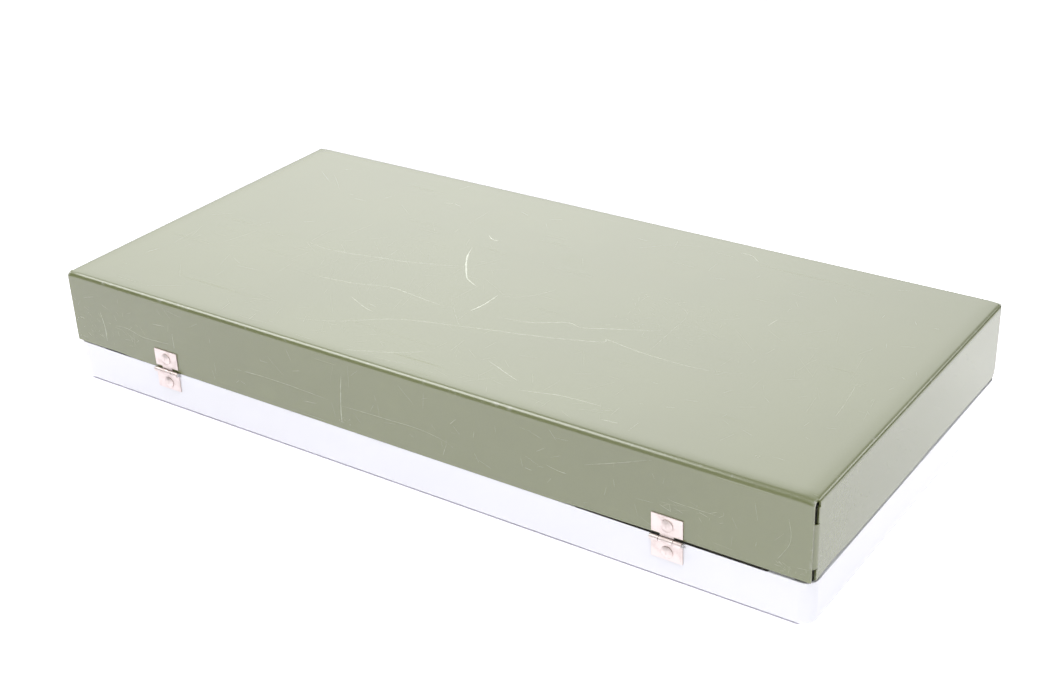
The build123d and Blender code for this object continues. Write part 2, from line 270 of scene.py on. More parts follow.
class Recipe(Graph):
    """A Geometry Nodes tree with named inputs for its sizes."""

    def __init__(self, name: str, sockets: dict[str, str]) -> None:
        """Make the tree and its named inputs.

        Args:
            name: Name of the tree.
            sockets: Kind of each input, by its name.
        """
        super().__init__(bpy.data.node_groups.new(name, "GeometryNodeTree"))
        sides = self.tree.interface
        sides.new_socket("Geometry", in_out="OUTPUT", socket_type="NodeSocketGeometry")
        sides.new_socket("Geometry", in_out="INPUT", socket_type="NodeSocketGeometry")
        for label, kind in {**sockets, "Finish": "NodeSocketMaterial"}.items():
            sides.new_socket(label, in_out="INPUT", socket_type=kind)
        self.given = self.tree.nodes.new("NodeGroupInput").outputs

    def named(self, label: str) -> NodeSocket:
        """Read a named attribute."""
        return self.add("GeometryNodeInputNamedAttribute", {"Name": label}, data_type="FLOAT")

    def chance(self, low: float, high: float, turn: int) -> NodeSocket:
        """Give a random number between two limits, another one for each turn.

        Args:
            low: The lower limit.
            high: The upper limit.
            turn: Which of the random numbers this is.

        Returns:
            The random number.
        """
        seed = self.math("ADD", self.given["Seed"], float(turn))
        sockets = {2: low, 3: high, "Seed": seed}
        return self.add("FunctionNodeRandomValue", sockets, out=1, data_type="FLOAT")

    def lessened(self, value: NodeSocket, least: float, turn: int, again: int = 10) -> NodeSocket:
        """Take a random share of a value twice over, so that small results are common."""
        once = self.math("MULTIPLY", value, self.chance(least, 1.0, turn))
        return self.math("MULTIPLY", once, self.chance(least, 1.0, turn + again))

    def wander(self, clouds: Clouds, size: Any) -> NodeSocket:
        """Give a random shift up to about a size, which changes slowly from place to place."""
        shift = self.noise(self.add("GeometryNodeInputPosition"), clouds, out="Color")
        return self.scaled(self.vector("SUBTRACT", shift, NOISE_MIDDLE), size)

    def close(self, geometry: NodeSocket) -> None:
        """End the tree with plain geometry of flat faces in its finish.

        Args:
            geometry: What the tree has made.
        """
        facets = self.add("GeometryNodeSetShadeSmooth", {"Geometry": geometry, "Shade Smooth": False})
        plain = self.add("GeometryNodeRealizeInstances", {"Geometry": facets})
        dressed = self.add("GeometryNodeSetMaterial", {"Geometry": plain, "Material": self.given["Finish"]})
        output = self.tree.nodes.new("NodeGroupOutput")
        self.tree.links.new(dressed, output.inputs["Geometry"])

    def run(self, name: str, source: Mesh, values: dict[str, Any]) -> Object:
        """Run the tree on a mesh.

        Args:
            name: Name of the new piece.
            source: The mesh that the tree starts from.
            values: Value of each input, by its name.

        Returns:
            A new piece with a plain mesh.
        """
        holder = placed(name + "_source", source)
        modifier = holder.modifiers.new("recipe", "NODES")
        modifier.node_group = self.tree
        for item in self.tree.interface.items_tree:
            if item.in_out == "INPUT" and item.name in values:
                modifier[item.identifier] = values[item.name]
        return flattened(holder, name)


# Meshes


def placed(name: str, data: Any) -> Object:
    """Put a mesh, a light or a camera in the scene, at the origin.

    Args:
        name: Name of the new object.
        data: The mesh, light or camera.

    Returns:
        The object.
    """
    thing = bpy.data.objects.new(name, data)
    bpy.context.scene.collection.objects.link(thing)
    return thing


def flattened(holder: Object, name: str) -> Object:
    """Turn an object with modifiers into a piece with a plain mesh, and remove the object.

    Args:
        holder: The object with live modifiers.
        name: Name of the new piece.

    Returns:
        The new piece.
    """
    graph = bpy.context.evaluated_depsgraph_get()
    live = holder.evaluated_get(graph)
    mesh = bpy.data.meshes.new_from_object(live, preserve_all_data_layers=True, depsgraph=graph)
    mesh.name = name
    bpy.data.objects.remove(holder)
    return placed(name, mesh)


def merged(node: str, flat: float = 0.4) -> bmesh.types.BMesh:
    """Copy a CAD piece with its points joined and its flat faces whole.

    Args:
        node: Name of the CAD piece.
        flat: The angle in degrees up to which neighbouring faces are one.

    Returns:
        The open copy.
    """
    work = bmesh.new()
    work.from_mesh(frame["nodes"][node].data)
    bmesh.ops.remove_doubles(work, verts=work.verts, dist=WELD)
    bmesh.ops.dissolve_limit(work, angle_limit=math.radians(flat), verts=work.verts, edges=work.edges)
    return work


def shaded(
    work: bmesh.types.BMesh, name: str, finish: Material, eased: float = 0.0, sharp: float = 32.0
) -> Object:
    """Close an open copy as a smooth piece, with its sharp edges eased as pressing and plating leave them.

    Args:
        work: The open copy, which is freed.
        name: Name of the new piece.
        finish: Its material.
        eased: Width of the eased edges.
        sharp: The angle in degrees from which an edge is sharp.

    Returns:
        The new piece.
    """
    mesh = bpy.data.meshes.new(name)
    work.to_mesh(mesh)
    work.free()
    mesh.materials.append(finish)
    mesh.shade_smooth()
    mesh.set_sharp_from_angle(angle=math.radians(sharp))
    holder = placed(name + "_source", mesh)
    if eased:
        bevel = holder.modifiers.new("eased", "BEVEL")
        bevel.width = eased
        bevel.segments = EASED_STEPS
        bevel.limit_method = "ANGLE"
        bevel.angle_limit = math.radians(sharp)
        bevel.miter_outer = "MITER_ARC"
    normals = holder.modifiers.new("normals", "WEIGHTED_NORMAL")
    normals.keep_sharp = True
    normals.weight = AREA_WEIGHT
    return flattened(holder, name)


def stand_in(piece: Object, node: str) -> Object:
    """Put a piece in the place of a CAD piece: on the same body, with the CAD piece hidden.

    Args:
        piece: The new piece.
        node: Name of the CAD piece.

    Returns:
        The new piece.
    """
    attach(piece, frame["nodes"][node]["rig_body"])
    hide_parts(node)
    return piece


def dress(node: str, finish: Material) -> Object:
    """Give a CAD piece its finish and leave its shape as it is.

    Args:
        node: Name of the CAD piece.
        finish: Its material.

    Returns:
        The piece.
    """
    piece = frame["nodes"][node]
    piece.data.materials.clear()
    piece.data.materials.append(finish)
    return piece


# Finishes


def opaque(colour: Colour, shade: float = 1.0) -> tuple[float, ...]:
    """Give a colour as a socket takes it, lighter or darker by a share."""
    return (*(c * shade for c in colour), 1.0)


@dataclass(frozen=True)
class OliveEnamel:
    """Satin enamel on folded steel: cloudy tone, hair scratches, folds paler by wear and a painted
    highlight.

    Each tint is a share and the lighter shade of the coat that it adds. Each hair turn is the direction of
    some scratches and that of their patches, in degrees.
    """

    coat: Colour = OLIVE
    # Pale tone of thinned, bare paint; on the fold ridges it also serves as a painted highlight.
    rubbed_paint_and_highlight: Colour = (0.34, 0.34, 0.31)
    rough: float = 0.22
    ior: float = ENAMEL_IOR
    clouds: Clouds = Clouds(16.0, detail=3.0)
    cloud_shades: Pair = (0.965, 1.035)
    grain: Clouds = Clouds(1400.0, 0.35, 0.65)
    grain_tint: Pair = (0.10, 1.22)
    grain_height: float = 0.006 * MM
    peel: Clouds = Clouds(620.0, detail=1.0)
    peel_height: float = 0.012 * MM
    scuffs: Clouds = Clouds(34.0, 0.56, 0.78, 5.0, 0.66)
    scuff_tint: Pair = (0.10, 1.5)
    scuff_dull: float = 0.03
    hair_lines: Clouds = Clouds(1.0, 0.66, 0.74, 2.0, 0.6, stretch=(9.0, 620.0, 620.0))
    hair_patches: Clouds = Clouds(21.0, 0.45, 0.7, 1.0)
    hair_turns: tuple[Pair, ...] = ((14.0, 11.0), (-31.0, 47.0), (74.0, 83.0))
    hair_tint: Pair = (0.22, 1.7)
    hair_dull: float = 0.10
    # The fold ridges are paler: partly paint wear, partly a painted highlight of the ridges.
    fold_wear_and_highlight: Clouds = Clouds(260.0, 0.55, 0.8, 4.0)
    fold_wear_and_highlight_reach: Pair = (1.2 * MM, 2.3 * MM)
    fold_wear_and_highlight_share: float = 0.40
    corner_edge: Clouds = Clouds(700.0)
    corner_ragged: float = 3.0 * MM
    corner_reach: Pair = (2.6 * MM, 4.6 * MM)
    corner_share: float = 0.85

    def fold(self, surface: Surface) -> NodeSocket:
        """Give the distance from the nearest fold, the middle one of the distances to three faces.

        Args:
            surface: The material in the making.

        Returns:
            The distance in metres.
        """
        x, y, z = surface.axes()
        ends = surface.math("SUBTRACT", BOX_LENGTH / 2, surface.math("ABSOLUTE", x))
        walls = surface.math("SUBTRACT", BOX_WIDTH / 2, surface.math("ABSOLUTE", y))
        down = surface.math("SUBTRACT", LID_TOP, z)
        low = surface.math("MINIMUM", ends, walls)
        high = surface.math("MAXIMUM", ends, walls)
        return surface.math("MAXIMUM", low, surface.math("MINIMUM", high, down))

    def bare_corner(self, surface: Surface) -> NodeSocket:
        """Give the share of bare metal at the four upper corners.

        Args:
            surface: The material in the making.

        Returns:
            The share, from 0 to 1.
        """
        corner = (BOX_LENGTH / 2, BOX_WIDTH / 2, LID_TOP)
        spot = surface.vector("SUBTRACT", surface.vector("ABSOLUTE", surface.place), corner)
        edge = surface.pattern(self.corner_edge)
        away = surface.math("MULTIPLY_ADD", edge, self.corner_ragged, surface.length(spot))
        return surface.ramp(away, *self.corner_reach, self.corner_share, 0.0)

    def hairs(self, surface: Surface) -> NodeSocket:
        """Give fine straight scratches in a few directions, each in patches of its own.

        Args:
            surface: The material in the making.

        Returns:
            The share of scratches, from 0 to 1.
        """
        total: Any = 0.0
        for turn, patch_turn in self.hair_turns:
            lines = surface.spread(replace(self.hair_lines, turn=(0.0, turn / 2, turn)))
            patches = surface.spread(replace(self.hair_patches, turn=(patch_turn, patch_turn, patch_turn)))
            total = surface.math("MAXIMUM", total, surface.math("MULTIPLY", lines, patches))
        return total

    def material(self) -> Material:
        """Make the material.

        Returns:
            The finished material.
        """
        surface = Surface("olive_enamel")
        grain = surface.pattern(self.grain)
        scuffs = surface.spread(self.scuffs)
        hairs = self.hairs(surface)
        shades = [opaque(self.coat, s) for s in self.cloud_shades]
        tone = surface.blend(surface.spread(self.clouds), *shades)
        tints = (
            (surface.fade(grain, self.grain), self.grain_tint),
            (scuffs, self.scuff_tint),
            (hairs, self.hair_tint),
        )
        for mask, (share, shade) in tints:
            tone = surface.blend(surface.math("MULTIPLY", mask, share), tone, opaque(self.coat, shade))
        # Paler fold ridges: partly paint wear, partly a painted highlight.
        wear_and_highlight = surface.ramp(self.fold(surface), *self.fold_wear_and_highlight_reach, self.fold_wear_and_highlight_share, 0.0)
        wear_and_highlight = surface.math("MULTIPLY", wear_and_highlight, surface.spread(self.fold_wear_and_highlight))
        for share in (wear_and_highlight, self.bare_corner(surface)):
            tone = surface.blend(share, tone, opaque(self.rubbed_paint_and_highlight))
        dull = surface.math("MULTIPLY_ADD", scuffs, self.scuff_dull, self.rough)
        dull = surface.math("MULTIPLY_ADD", hairs, self.hair_dull, dull)
        peel = surface.bump(surface.pattern(self.peel), self.peel_height)
        fine = surface.bump(grain, self.grain_height, under=peel)
        surface.give(Base_Color=tone, Roughness=dull, Normal=fine, IOR=self.ior)
        return surface.material


@dataclass(frozen=True)
class ScratchedEnamel:
    """Enamel torn by a scratch: the deeper, the paler, as the attribute of the strip says."""

    coat: Colour = OLIVE
    bare: Colour = (0.52, 0.55, 0.44)
    rough: float = 0.28
    ior: float = ENAMEL_IOR
    broken: Clouds = Clouds(900.0, detail=3.0)
    broken_shares: Pair = (0.7, 1.0)

    def material(self) -> Material:
        """Make the material.

        Returns:
            The finished material.
        """
        surface = Surface("scratched_enamel")
        pale = surface.add("ShaderNodeAttribute", out="Fac", attribute_name=PALENESS)
        pale = surface.math("MULTIPLY", pale, surface.spread(self.broken, *self.broken_shares))
        tone = surface.blend(pale, opaque(self.coat), opaque(self.bare))
        surface.give(Base_Color=tone, Roughness=self.rough, IOR=self.ior)
        return surface.material


@dataclass(frozen=True)
class Moulding:
    """Injection-moulded plastic: even colour with faint flow clouds, a fine skin and handling marks."""

    name: str
    colour: Colour
    rough: float
    skin_height: float
    skin: Clouds = Clouds(1900.0)
    flow: Clouds = Clouds(9.0, turn=(0.0, 0.0, 12.0), stretch=(1.0, 2.2, 2.2))
    flow_shades: Pair = (0.975, 1.015)
    rubs: Clouds = Clouds(1.0, 0.62, 0.72, turn=(0.0, 9.0, 24.0), stretch=(14.0, 420.0, 420.0))
    rub_patches: Clouds = Clouds(17.0, 0.48, 0.7)
    rub_dull: float = 0.08

    def material(self) -> Material:
        """Make the material.

        Returns:
            The finished material.
        """
        surface = Surface(self.name)
        shades = [opaque(self.colour, s) for s in self.flow_shades]
        tone = surface.blend(surface.spread(self.flow), *shades)
        rubs = surface.math("MULTIPLY", surface.spread(self.rubs), surface.spread(self.rub_patches))
        dull = surface.math("MULTIPLY_ADD", rubs, self.rub_dull, self.rough)
        skin = surface.bump(surface.pattern(self.skin), self.skin_height)
        surface.give(Base_Color=tone, Roughness=dull, Normal=skin)
        return surface.material


@dataclass(frozen=True)
class Plate:
    """Metal plating on pressed or drawn steel: drawing lines, dull patches and small dark pits."""

    name: str
    colour: Colour
    stain: Colour
    rough: float
    drawn: Clouds = Clouds(1.0, detail=3.0, stretch=(60.0, 900.0, 900.0))
    drawn_height: float = 0.01 * MM
    drawn_dull: float = 0.08
    patches: Clouds = Clouds(240.0, 0.46, 0.68, 4.0, 0.6)
    patch_share: float = 0.35
    patch_dull: float = 0.12
    pits: Clouds = Clouds(1500.0, 0.68, 0.74)
    pit_share: float = 0.5
    pit_shade: float = 0.4

    def material(self) -> Material:
        """Make the material.

        Returns:
            The finished material.
        """
        surface = Surface(self.name)
        drawn = surface.pattern(self.drawn)
        patches = surface.spread(self.patches)
        stained = surface.math("MULTIPLY", patches, self.patch_share)
        pitted = surface.math("MULTIPLY", surface.spread(self.pits), self.pit_share)
        tone = surface.blend(stained, opaque(self.colour), opaque(self.stain))
        tone = surface.blend(pitted, tone, opaque(self.stain, self.pit_shade))
        dull = surface.math("MULTIPLY_ADD", patches, self.patch_dull, self.rough)
        dull = surface.math("MULTIPLY_ADD", drawn, self.drawn_dull, dull)
        relief = surface.bump(drawn, self.drawn_height)
        surface.give(Base_Color=tone, Metallic=1.0, Roughness=dull, Normal=relief)
        return surface.material


WHITE_MOULDING = Moulding("white_moulding", (0.644, 0.649, 0.679), rough=0.2, skin_height=0.002 * MM)
IVORY_MOULDING = Moulding("ivory_moulding", (0.80, 0.785, 0.72), rough=0.42, skin_height=0.012 * MM)
NICKEL_PLATE = Plate("nickel_plate", (0.66, 0.585, 0.56), stain=(0.52, 0.44, 0.42), rough=0.42)
DRAWN_WIRE = Plate("drawn_wire", (0.62, 0.61, 0.60), stain=(0.40, 0.38, 0.36), rough=0.3)
ZINC_PLATE = Plate("zinc_plate", (0.66, 0.67, 0.69), stain=(0.50, 0.50, 0.50), rough=0.38)


@dataclass(frozen=True)
class StudioPaper:
    """White paper that the box stands on, glowing as if lit from below so that it stays white.

    Each corner glow is the corner's side along X, its side along Y and its level. Under the box and just
    beside its long walls the glow fades out, a painted contact shadow.
    """

    colour: Colour = (0.88, 0.865, 0.93)
    rough: float = 0.9
    gloss: float = 0.1
    clouds: Clouds = Clouds(5.0)
    cloud_shades: Pair = (0.985, 1.0)
    corner_glows: tuple[Triple, ...] = ((-1.0, 1.0, 0.62), (1.0, 1.0, 0.42), (-1.0, -1.0, 0.85))
    across: float = 0.2
    along: float = 0.15
    # Where the painted contact shadow fades, inside and outside the long walls; it stops this far in from
    # the ends.
    painted_shadow_reach: Pair = (-1.4 * MM, 0.6 * MM)
    painted_shadow_end_inset: float = 5.0 * MM

    def glow(self, surface: Surface) -> NodeSocket:
        """Give the paper's glow: a level for each corner, faded out under the box as a painted contact
        shadow.

        Args:
            surface: The material in the making.

        Returns:
            The strength of the light.
        """
        x, y, _ = surface.axes()
        total: Any = 0.0
        for side_x, side_y, level in self.corner_glows:
            share_x = surface.ramp(x, -side_x * self.across, side_x * self.across)
            share_y = surface.ramp(y, -side_y * self.along, side_y * self.along)
            share = surface.math("MULTIPLY", share_x, share_y)
            total = surface.math("MULTIPLY_ADD", share, level, total)
        # Painted contact shadow: no glow under the box and just beside its long walls, full glow from a
        # little inside its ends.
        ends = surface.math("SUBTRACT", surface.math("ABSOLUTE", x), BOX_LENGTH / 2 - self.painted_shadow_end_inset)
        walls = surface.math("SUBTRACT", surface.math("ABSOLUTE", y), BOX_WIDTH / 2)
        clear = surface.ramp(surface.math("MAXIMUM", ends, walls), *self.painted_shadow_reach)
        return surface.math("MULTIPLY", total, clear)

    def material(self) -> Material:
        """Make the material.

        Returns:
            The finished material.
        """
        surface = Surface("studio_paper")
        shades = [opaque(self.colour, s) for s in self.cloud_shades]
        tone = surface.blend(surface.spread(self.clouds), *shades)
        surface.give(Base_Color=tone, Roughness=self.rough, Specular_IOR_Level=self.gloss)
        surface.give(Emission_Color=WHITE_LIGHT, Emission_Strength=self.glow(surface))
        return surface.material


# The studio


@dataclass
class PhotoCamera:
    """The camera that sees the box as the photograph does."""

    place: Triple = (-0.41173, 0.57515, 0.39635)
    heading: float = -35.3304
    tilt: float = 27.7938
    roll: float = -2.3523
    lens: float = 57.49
    sensor: float = 36.0

    def build(self) -> Object:
        """Make the camera and look through it.

        Returns:
            The camera.
        """
        heading, tilt, roll = (math.radians(a) for a in (self.heading, self.tilt, self.roll))
        flat = math.cos(tilt)
        aim = Vector((-math.sin(heading) * flat, -math.cos(heading) * flat, -math.sin(tilt)))
        level = Vector((-math.cos(heading), math.sin(heading), 0.0))
        upright = level.cross(aim)
        across = math.cos(roll) * level + math.sin(roll) * upright
        above = math.cos(roll) * upright - math.sin(roll) * level
        turn = Matrix((across, above, -aim)).transposed().to_4x4()
        data = bpy.data.cameras.new("photo_camera")
        data.lens = self.lens
        data.sensor_width = self.sensor
        data.sensor_fit = "HORIZONTAL"
        camera = placed("photo_camera", data)
        camera.matrix_world = Matrix.Translation(Vector(self.place)) @ turn
        bpy.context.scene.camera = camera
        return camera


@dataclass(frozen=True)
class SoftBox:
    """A large soft light: where it hangs, the point that it faces, its two sides and its watts."""

    name: str
    place: Triple
    aim: Triple
    sides: Pair
    power: float

    def build(self) -> Object:
        """Make the light.

        Returns:
            The light.
        """
        data = bpy.data.lights.new(self.name, "AREA")
        data.shape = "RECTANGLE"
        data.size, data.size_y = self.sides
        data.energy = self.power
        light = placed(self.name, data)
        away = Vector(self.place) - Vector(self.aim)
        turn = away.to_track_quat("Z", "Y").to_matrix().to_4x4()
        light.matrix_world = Matrix.Translation(Vector(self.place)) @ turn
        return light


@dataclass(frozen=True)
class SkyGlow:
    """Light from one side of the room: how bright it is near the floor and half way up, and how narrow."""

    side: Triple
    low: float
    middle: float
    narrow: float = 2.0


@dataclass
class Studio:
    """A white floor, a room that glows most behind the box, and soft boxes, named as the camera sees them.

    Each rise is how steeply a direction points up where a band of the room starts, and where it is full.
    """

    floor_radius: float = 6.0
    floor_sides: int = 96
    floor_gap: float = 0.05 * MM
    middle_rise: Pair = (0.10, 0.45)
    high_rise: Pair = (0.56, 0.68)
    overhead: float = 0.7
    glows: tuple[SkyGlow, ...] = (
        SkyGlow((0.56, -0.83, 0.0), 1.2, 2.9, 4.0),
        SkyGlow((1.0, 0.0, 0.0), 0.1, 0.2),
        SkyGlow((-1.0, 0.0, 0.0), 0.1, 1.1),
        SkyGlow((0.0, 1.0, 0.0), 0.65, 0.45),
    )
    boxes: tuple[SoftBox, ...] = (
        SoftBox("front_soft_box", (-0.39, 0.585, 1.092), (0.0, 0.0, 0.0), (0.7, 0.7), 7.6),
        SoftBox("left_soft_box", (0.80, 0.27, 1.0), (0.80, 0.27, 0.0), (1.0, 0.70), 10.1),
        SoftBox("back_soft_box", (-0.83, -1.0, 0.62), (-0.2, 0.0, 0.05), (0.42, 0.36), 1.62),
    )

    def floor(self) -> Object:
        """Make the floor, just clear of the underside.

        Returns:
            The floor.
        """
        work = bmesh.new()
        below = Matrix.Translation((0.0, 0.0, -self.floor_gap))
        bmesh.ops.create_circle(
            work, cap_ends=True, segments=self.floor_sides, radius=self.floor_radius, matrix=below)
        mesh = bpy.data.meshes.new("studio_floor")
        work.to_mesh(mesh)
        work.free()
        mesh.materials.append(StudioPaper().material())
        floor = placed("studio_floor", mesh)
        return floor

    def level(self, graph: Graph) -> NodeSocket:
        """Give the brightness of the room in each direction.

        Args:
            graph: The node tree of the room.

        Returns:
            The brightness.
        """
        way = graph.add("ShaderNodeTexCoord", out="Generated")
        rise = graph.along(way, (0.0, 0.0, 1.0))
        middle = graph.ramp(rise, *self.middle_rise)
        high = graph.ramp(rise, *self.high_rise)
        low = graph.math("SUBTRACT", 1.0, middle)
        middle = graph.math("SUBTRACT", middle, high)
        flat = graph.vector("NORMALIZE", graph.vector("MULTIPLY", way, (1.0, 1.0, 0.0)))
        total: Any = 0.0
        for glow in self.glows:
            facing = graph.math("MAXIMUM", graph.along(flat, glow.side), 0.0)
            band = graph.math("MULTIPLY_ADD", low, glow.low, graph.math("MULTIPLY", middle, glow.middle))
            total = graph.math("MULTIPLY_ADD", graph.math("POWER", facing, glow.narrow), band, total)
        return graph.math("MULTIPLY_ADD", high, self.overhead, total)

    def sky(self) -> None:
        """Make the light that comes from all round, with a backdrop that looks white from every side."""
        world = bpy.data.worlds.new("studio_sky")
        world.use_nodes = True
        graph = Graph(world.node_tree)
        seen = graph.add("ShaderNodeLightPath", out="Is Camera Ray")
        level = graph.math("MAXIMUM", self.level(graph), seen)
        sky = graph.add("ShaderNodeBackground", {"Color": WHITE_LIGHT, "Strength": level})
        output = graph.tree.nodes.new("ShaderNodeOutputWorld")
        graph.tree.links.new(sky, output.inputs["Surface"])
        bpy.context.scene.world = world

    def build(self) -> list[Object]:
        """Make the whole studio.

        Returns:
            The floor and the lights.
        """
        bpy.context.scene.view_settings.view_transform = "Standard"
        self.sky()
        return [self.floor(), *(box.build() for box in self.boxes)]


# The faces of the lid and their wear


class Face(Enum):
    """The faces of the lid, by the direction in which each one looks."""

    TOP = (0.0, 0.0, 1.0)
    HINGE_WALL = (0.0, 1.0, 0.0)
    FRONT_WALL = (0.0, -1.0, 0.0)
    LEFT_WALL = (-1.0, 0.0, 0.0)
    RIGHT_WALL = (1.0, 0.0, 0.0)

    @property
    def centre(self) -> Triple:
        """Give the point of the face from which its marks are measured."""
        x, y, z = self.value
        return (x * BOX_LENGTH / 2, y * BOX_WIDTH / 2, z * LID_TOP)

    def spot(self, drawn: Vector) -> Vector:
        """Lay a flat point on the face, its second axis up a wall, or towards the hinges on the top.

        Args:
            drawn: The point, in metres from the origin of the face.

        Returns:
            The point on the box.
        """
        x, y, _ = self.value
        laid = drawn
        if y:
            laid = Vector((drawn.x, 0.0, drawn.y))
        elif x:
            laid = Vector((0.0, drawn.x, drawn.y))
        return Vector(self.centre) + laid


class Mark(Enum):
    """How deep a scratch went: half its width in millimetres, and how pale it is."""

    CUT = (0.36, 0.80)
    LINE = (0.20, 0.50)
    HAIR = (0.13, 0.26)


# Scratches that are seen one by one, as points in millimetres on their face

TOP_SCRATCHES: tuple[tuple[Mark, Stroke], ...] = (
    (Mark.CUT, ((43, -25), (38, -14), (32, -5), (25, 4), (21, 7), (15, 10))),
    (Mark.CUT, ((1, 13), (1, 23), (3, 34))),
    (Mark.HAIR, ((3, 34), (2, 43))),
    (Mark.CUT, ((44, -41), (40, -38), (36, -38))),
    (Mark.LINE, ((89, -64), (83, -65), (78, -64))),
    (Mark.LINE, ((120, 10), (105, 12), (88, 10), (74, 7), (63, 5), (50, 1), (33, -5))),
    (Mark.HAIR, ((74, -14), (73, 7), (79, 17), (75, 29))),
    (Mark.LINE, ((94, 39), (73, 37), (64, 35), (50, 31), (37, 32), (20, 34), (14, 34))),
    (Mark.LINE, ((60, 48), (46, 54), (41, 55))),
    (Mark.LINE, ((49, 49), (42, 51))),
    (Mark.LINE, (
        (67, 78), (49, 71), (27, 56), (-2, 47), (-40, 37),
        (-65, 28), (-66, 25), (-86, 28), (-114, 28), (-133, 22))),
    (Mark.HAIR, ((19, 25), (6, 39), (-5, 50))),
    (Mark.LINE, ((-12, 31), (-28, 28), (-42, 20), (-50, 21), (-61, 16), (-84, 5))),
    (Mark.HAIR, ((-87, 24), (-86, 4), (-85, -11), (-81, -17), (-75, -18))),
    (Mark.HAIR, ((0, 14), (-13, 5), (-19, -6))),
    (Mark.LINE, ((29, 91), (6, 81), (-3, 74))),
    (Mark.HAIR, ((13, 90), (-6, 87))),
    (Mark.LINE, ((-32, 67), (-49, 74), (-54, 76))),
    (Mark.LINE, ((-58, 82), (-76, 77), (-95, 76))),
    (Mark.HAIR, ((-87, 83), (-102, 76))),
    (Mark.HAIR, ((-89, 82), (-98, 80))),
    (Mark.LINE, ((-100, 85), (-108, 84))),
    (Mark.HAIR, ((-175, 6), (-178, 25), (-179, 36))),
    (Mark.LINE, ((-74, -84), (-80, -84), (-86, -79))),
    (Mark.LINE, ((-120, -22), (-121, -29))),
)

HINGE_WALL_SCRATCHES: tuple[tuple[Mark, Stroke], ...] = (
    (Mark.LINE, ((180, 41), (178, 33), (178, 25))),
    (Mark.HAIR, ((183, 36), (180, 34.5))),
    (Mark.HAIR, ((170, 35.5), (162, 36), (151, 34), (132, 35))),
    (Mark.HAIR, ((144, 43), (134, 44))),
    (Mark.HAIR, ((131, 42), (131, 33))),
    (Mark.HAIR, ((93, 33), (69, 34), (36, 33))),
    (Mark.HAIR, ((51, 28), (43, 29))),
    (Mark.LINE, ((27, 48), (29, 31), (29, 21.5))),
    (Mark.HAIR, ((29, 32), (-2, 33), (-17, 33), (-30, 31))),
    (Mark.HAIR, ((-31, 40), (-35, 44))),
    (Mark.HAIR, ((-27, 24), (-29, 30))),
    (Mark.HAIR, ((-80, 36), (-86, 35), (-91, 35))),
    (Mark.HAIR, ((-99, 42), (-120, 50), (-130, 54))),
    (Mark.HAIR, ((-137, 39), (-140, 38), (-148, 38), (-160, 38))),
    (Mark.HAIR, ((-133, 35), (-139, 33))),
    (Mark.HAIR, ((-189, 47), (-190, 37), (-184, 26))),
    (Mark.HAIR, ((-189, 26), (-198, 27))),
)

SCRATCHES = (
    ("lid_top_scratches", Face.TOP, TOP_SCRATCHES),
    ("hinge_wall_scratches", Face.HINGE_WALL, HINGE_WALL_SCRATCHES),
)


class Chance(Enum):
    """What is left to chance in a fine mark, each with a turn of its own."""

    WIDTH = 1
    PALENESS = 2
    DIRECTION = 3
    LENGTH = 4


@dataclass(frozen=True)
class ScuffPatch:
    """A patch of fine marks on one face, in millimetres: its place and size, and its marks."""

    centre: Pair
    size: Pair
    count: int
    length: float
    half_width: float
    paleness: float


TOP_SCUFFS = (
    ScuffPatch((0, 0), (380, 176), 110, 26, 0.10, 0.22),
    ScuffPatch((65, 15), (110, 60), 60, 30, 0.11, 0.26),
    ScuffPatch((0, 78), (230, 28), 70, 18, 0.11, 0.30),
    ScuffPatch((-80, -4), (52, 40), 90, 7, 0.14, 0.28),
    ScuffPatch((-155, 0), (76, 130), 46, 13, 0.11, 0.20),
    ScuffPatch((-166, 78), (3, 2), 4, 2.0, 0.42, 0.50),
)

HINGE_WALL_SCUFFS = (
    ScuffPatch((0, 39), (390, 31), 90, 13, 0.10, 0.24),
    ScuffPatch((176, 34), (42, 22), 34, 6, 0.13, 0.40),
    ScuffPatch((191, 30), (14, 16), 9, 1.6, 0.36, 0.50),
    ScuffPatch((-191, 24.3), (13, 4), 24, 4.5, 0.16, 0.46),
    ScuffPatch((-148, 37), (28, 8), 15, 8, 0.14, 0.40),
    ScuffPatch((28, 24), (8, 4), 10, 4, 0.15, 0.40),
)

FRONT_WALL_SCUFFS = (ScuffPatch((0, 39), (390, 31), 90, 12, 0.10, 0.22),)

END_WALL_SCUFFS = (ScuffPatch((0, 39), (180, 31), 46, 10, 0.10, 0.20),)

SCUFFS = (
    ("lid_top_scuffs", Face.TOP, TOP_SCUFFS),
    ("hinge_wall_scuffs", Face.HINGE_WALL, HINGE_WALL_SCUFFS),
    ("front_wall_scuffs", Face.FRONT_WALL, FRONT_WALL_SCUFFS),
    ("left_wall_scuffs", Face.LEFT_WALL, END_WALL_SCUFFS),
    ("right_wall_scuffs", Face.RIGHT_WALL, END_WALL_SCUFFS),
)

# How far the lower edge of a wall is bent up at places along it, in millimetres

HINGE_WALL_EDGE = (
    (200, 0.3), (184, 0.3), (170, 0.4), (160, -0.2), (-82, -0.2), (-100, 0.4), (-146, 0.9), (-200, 0.9))
END_WALL_EDGE = ((96, 0.9), (88, 1.6), (78, 2.0), (62, 1.2), (0, 1.2), (-15, 1.6), (-30, 1.6), (-96, 1.2))


# The box


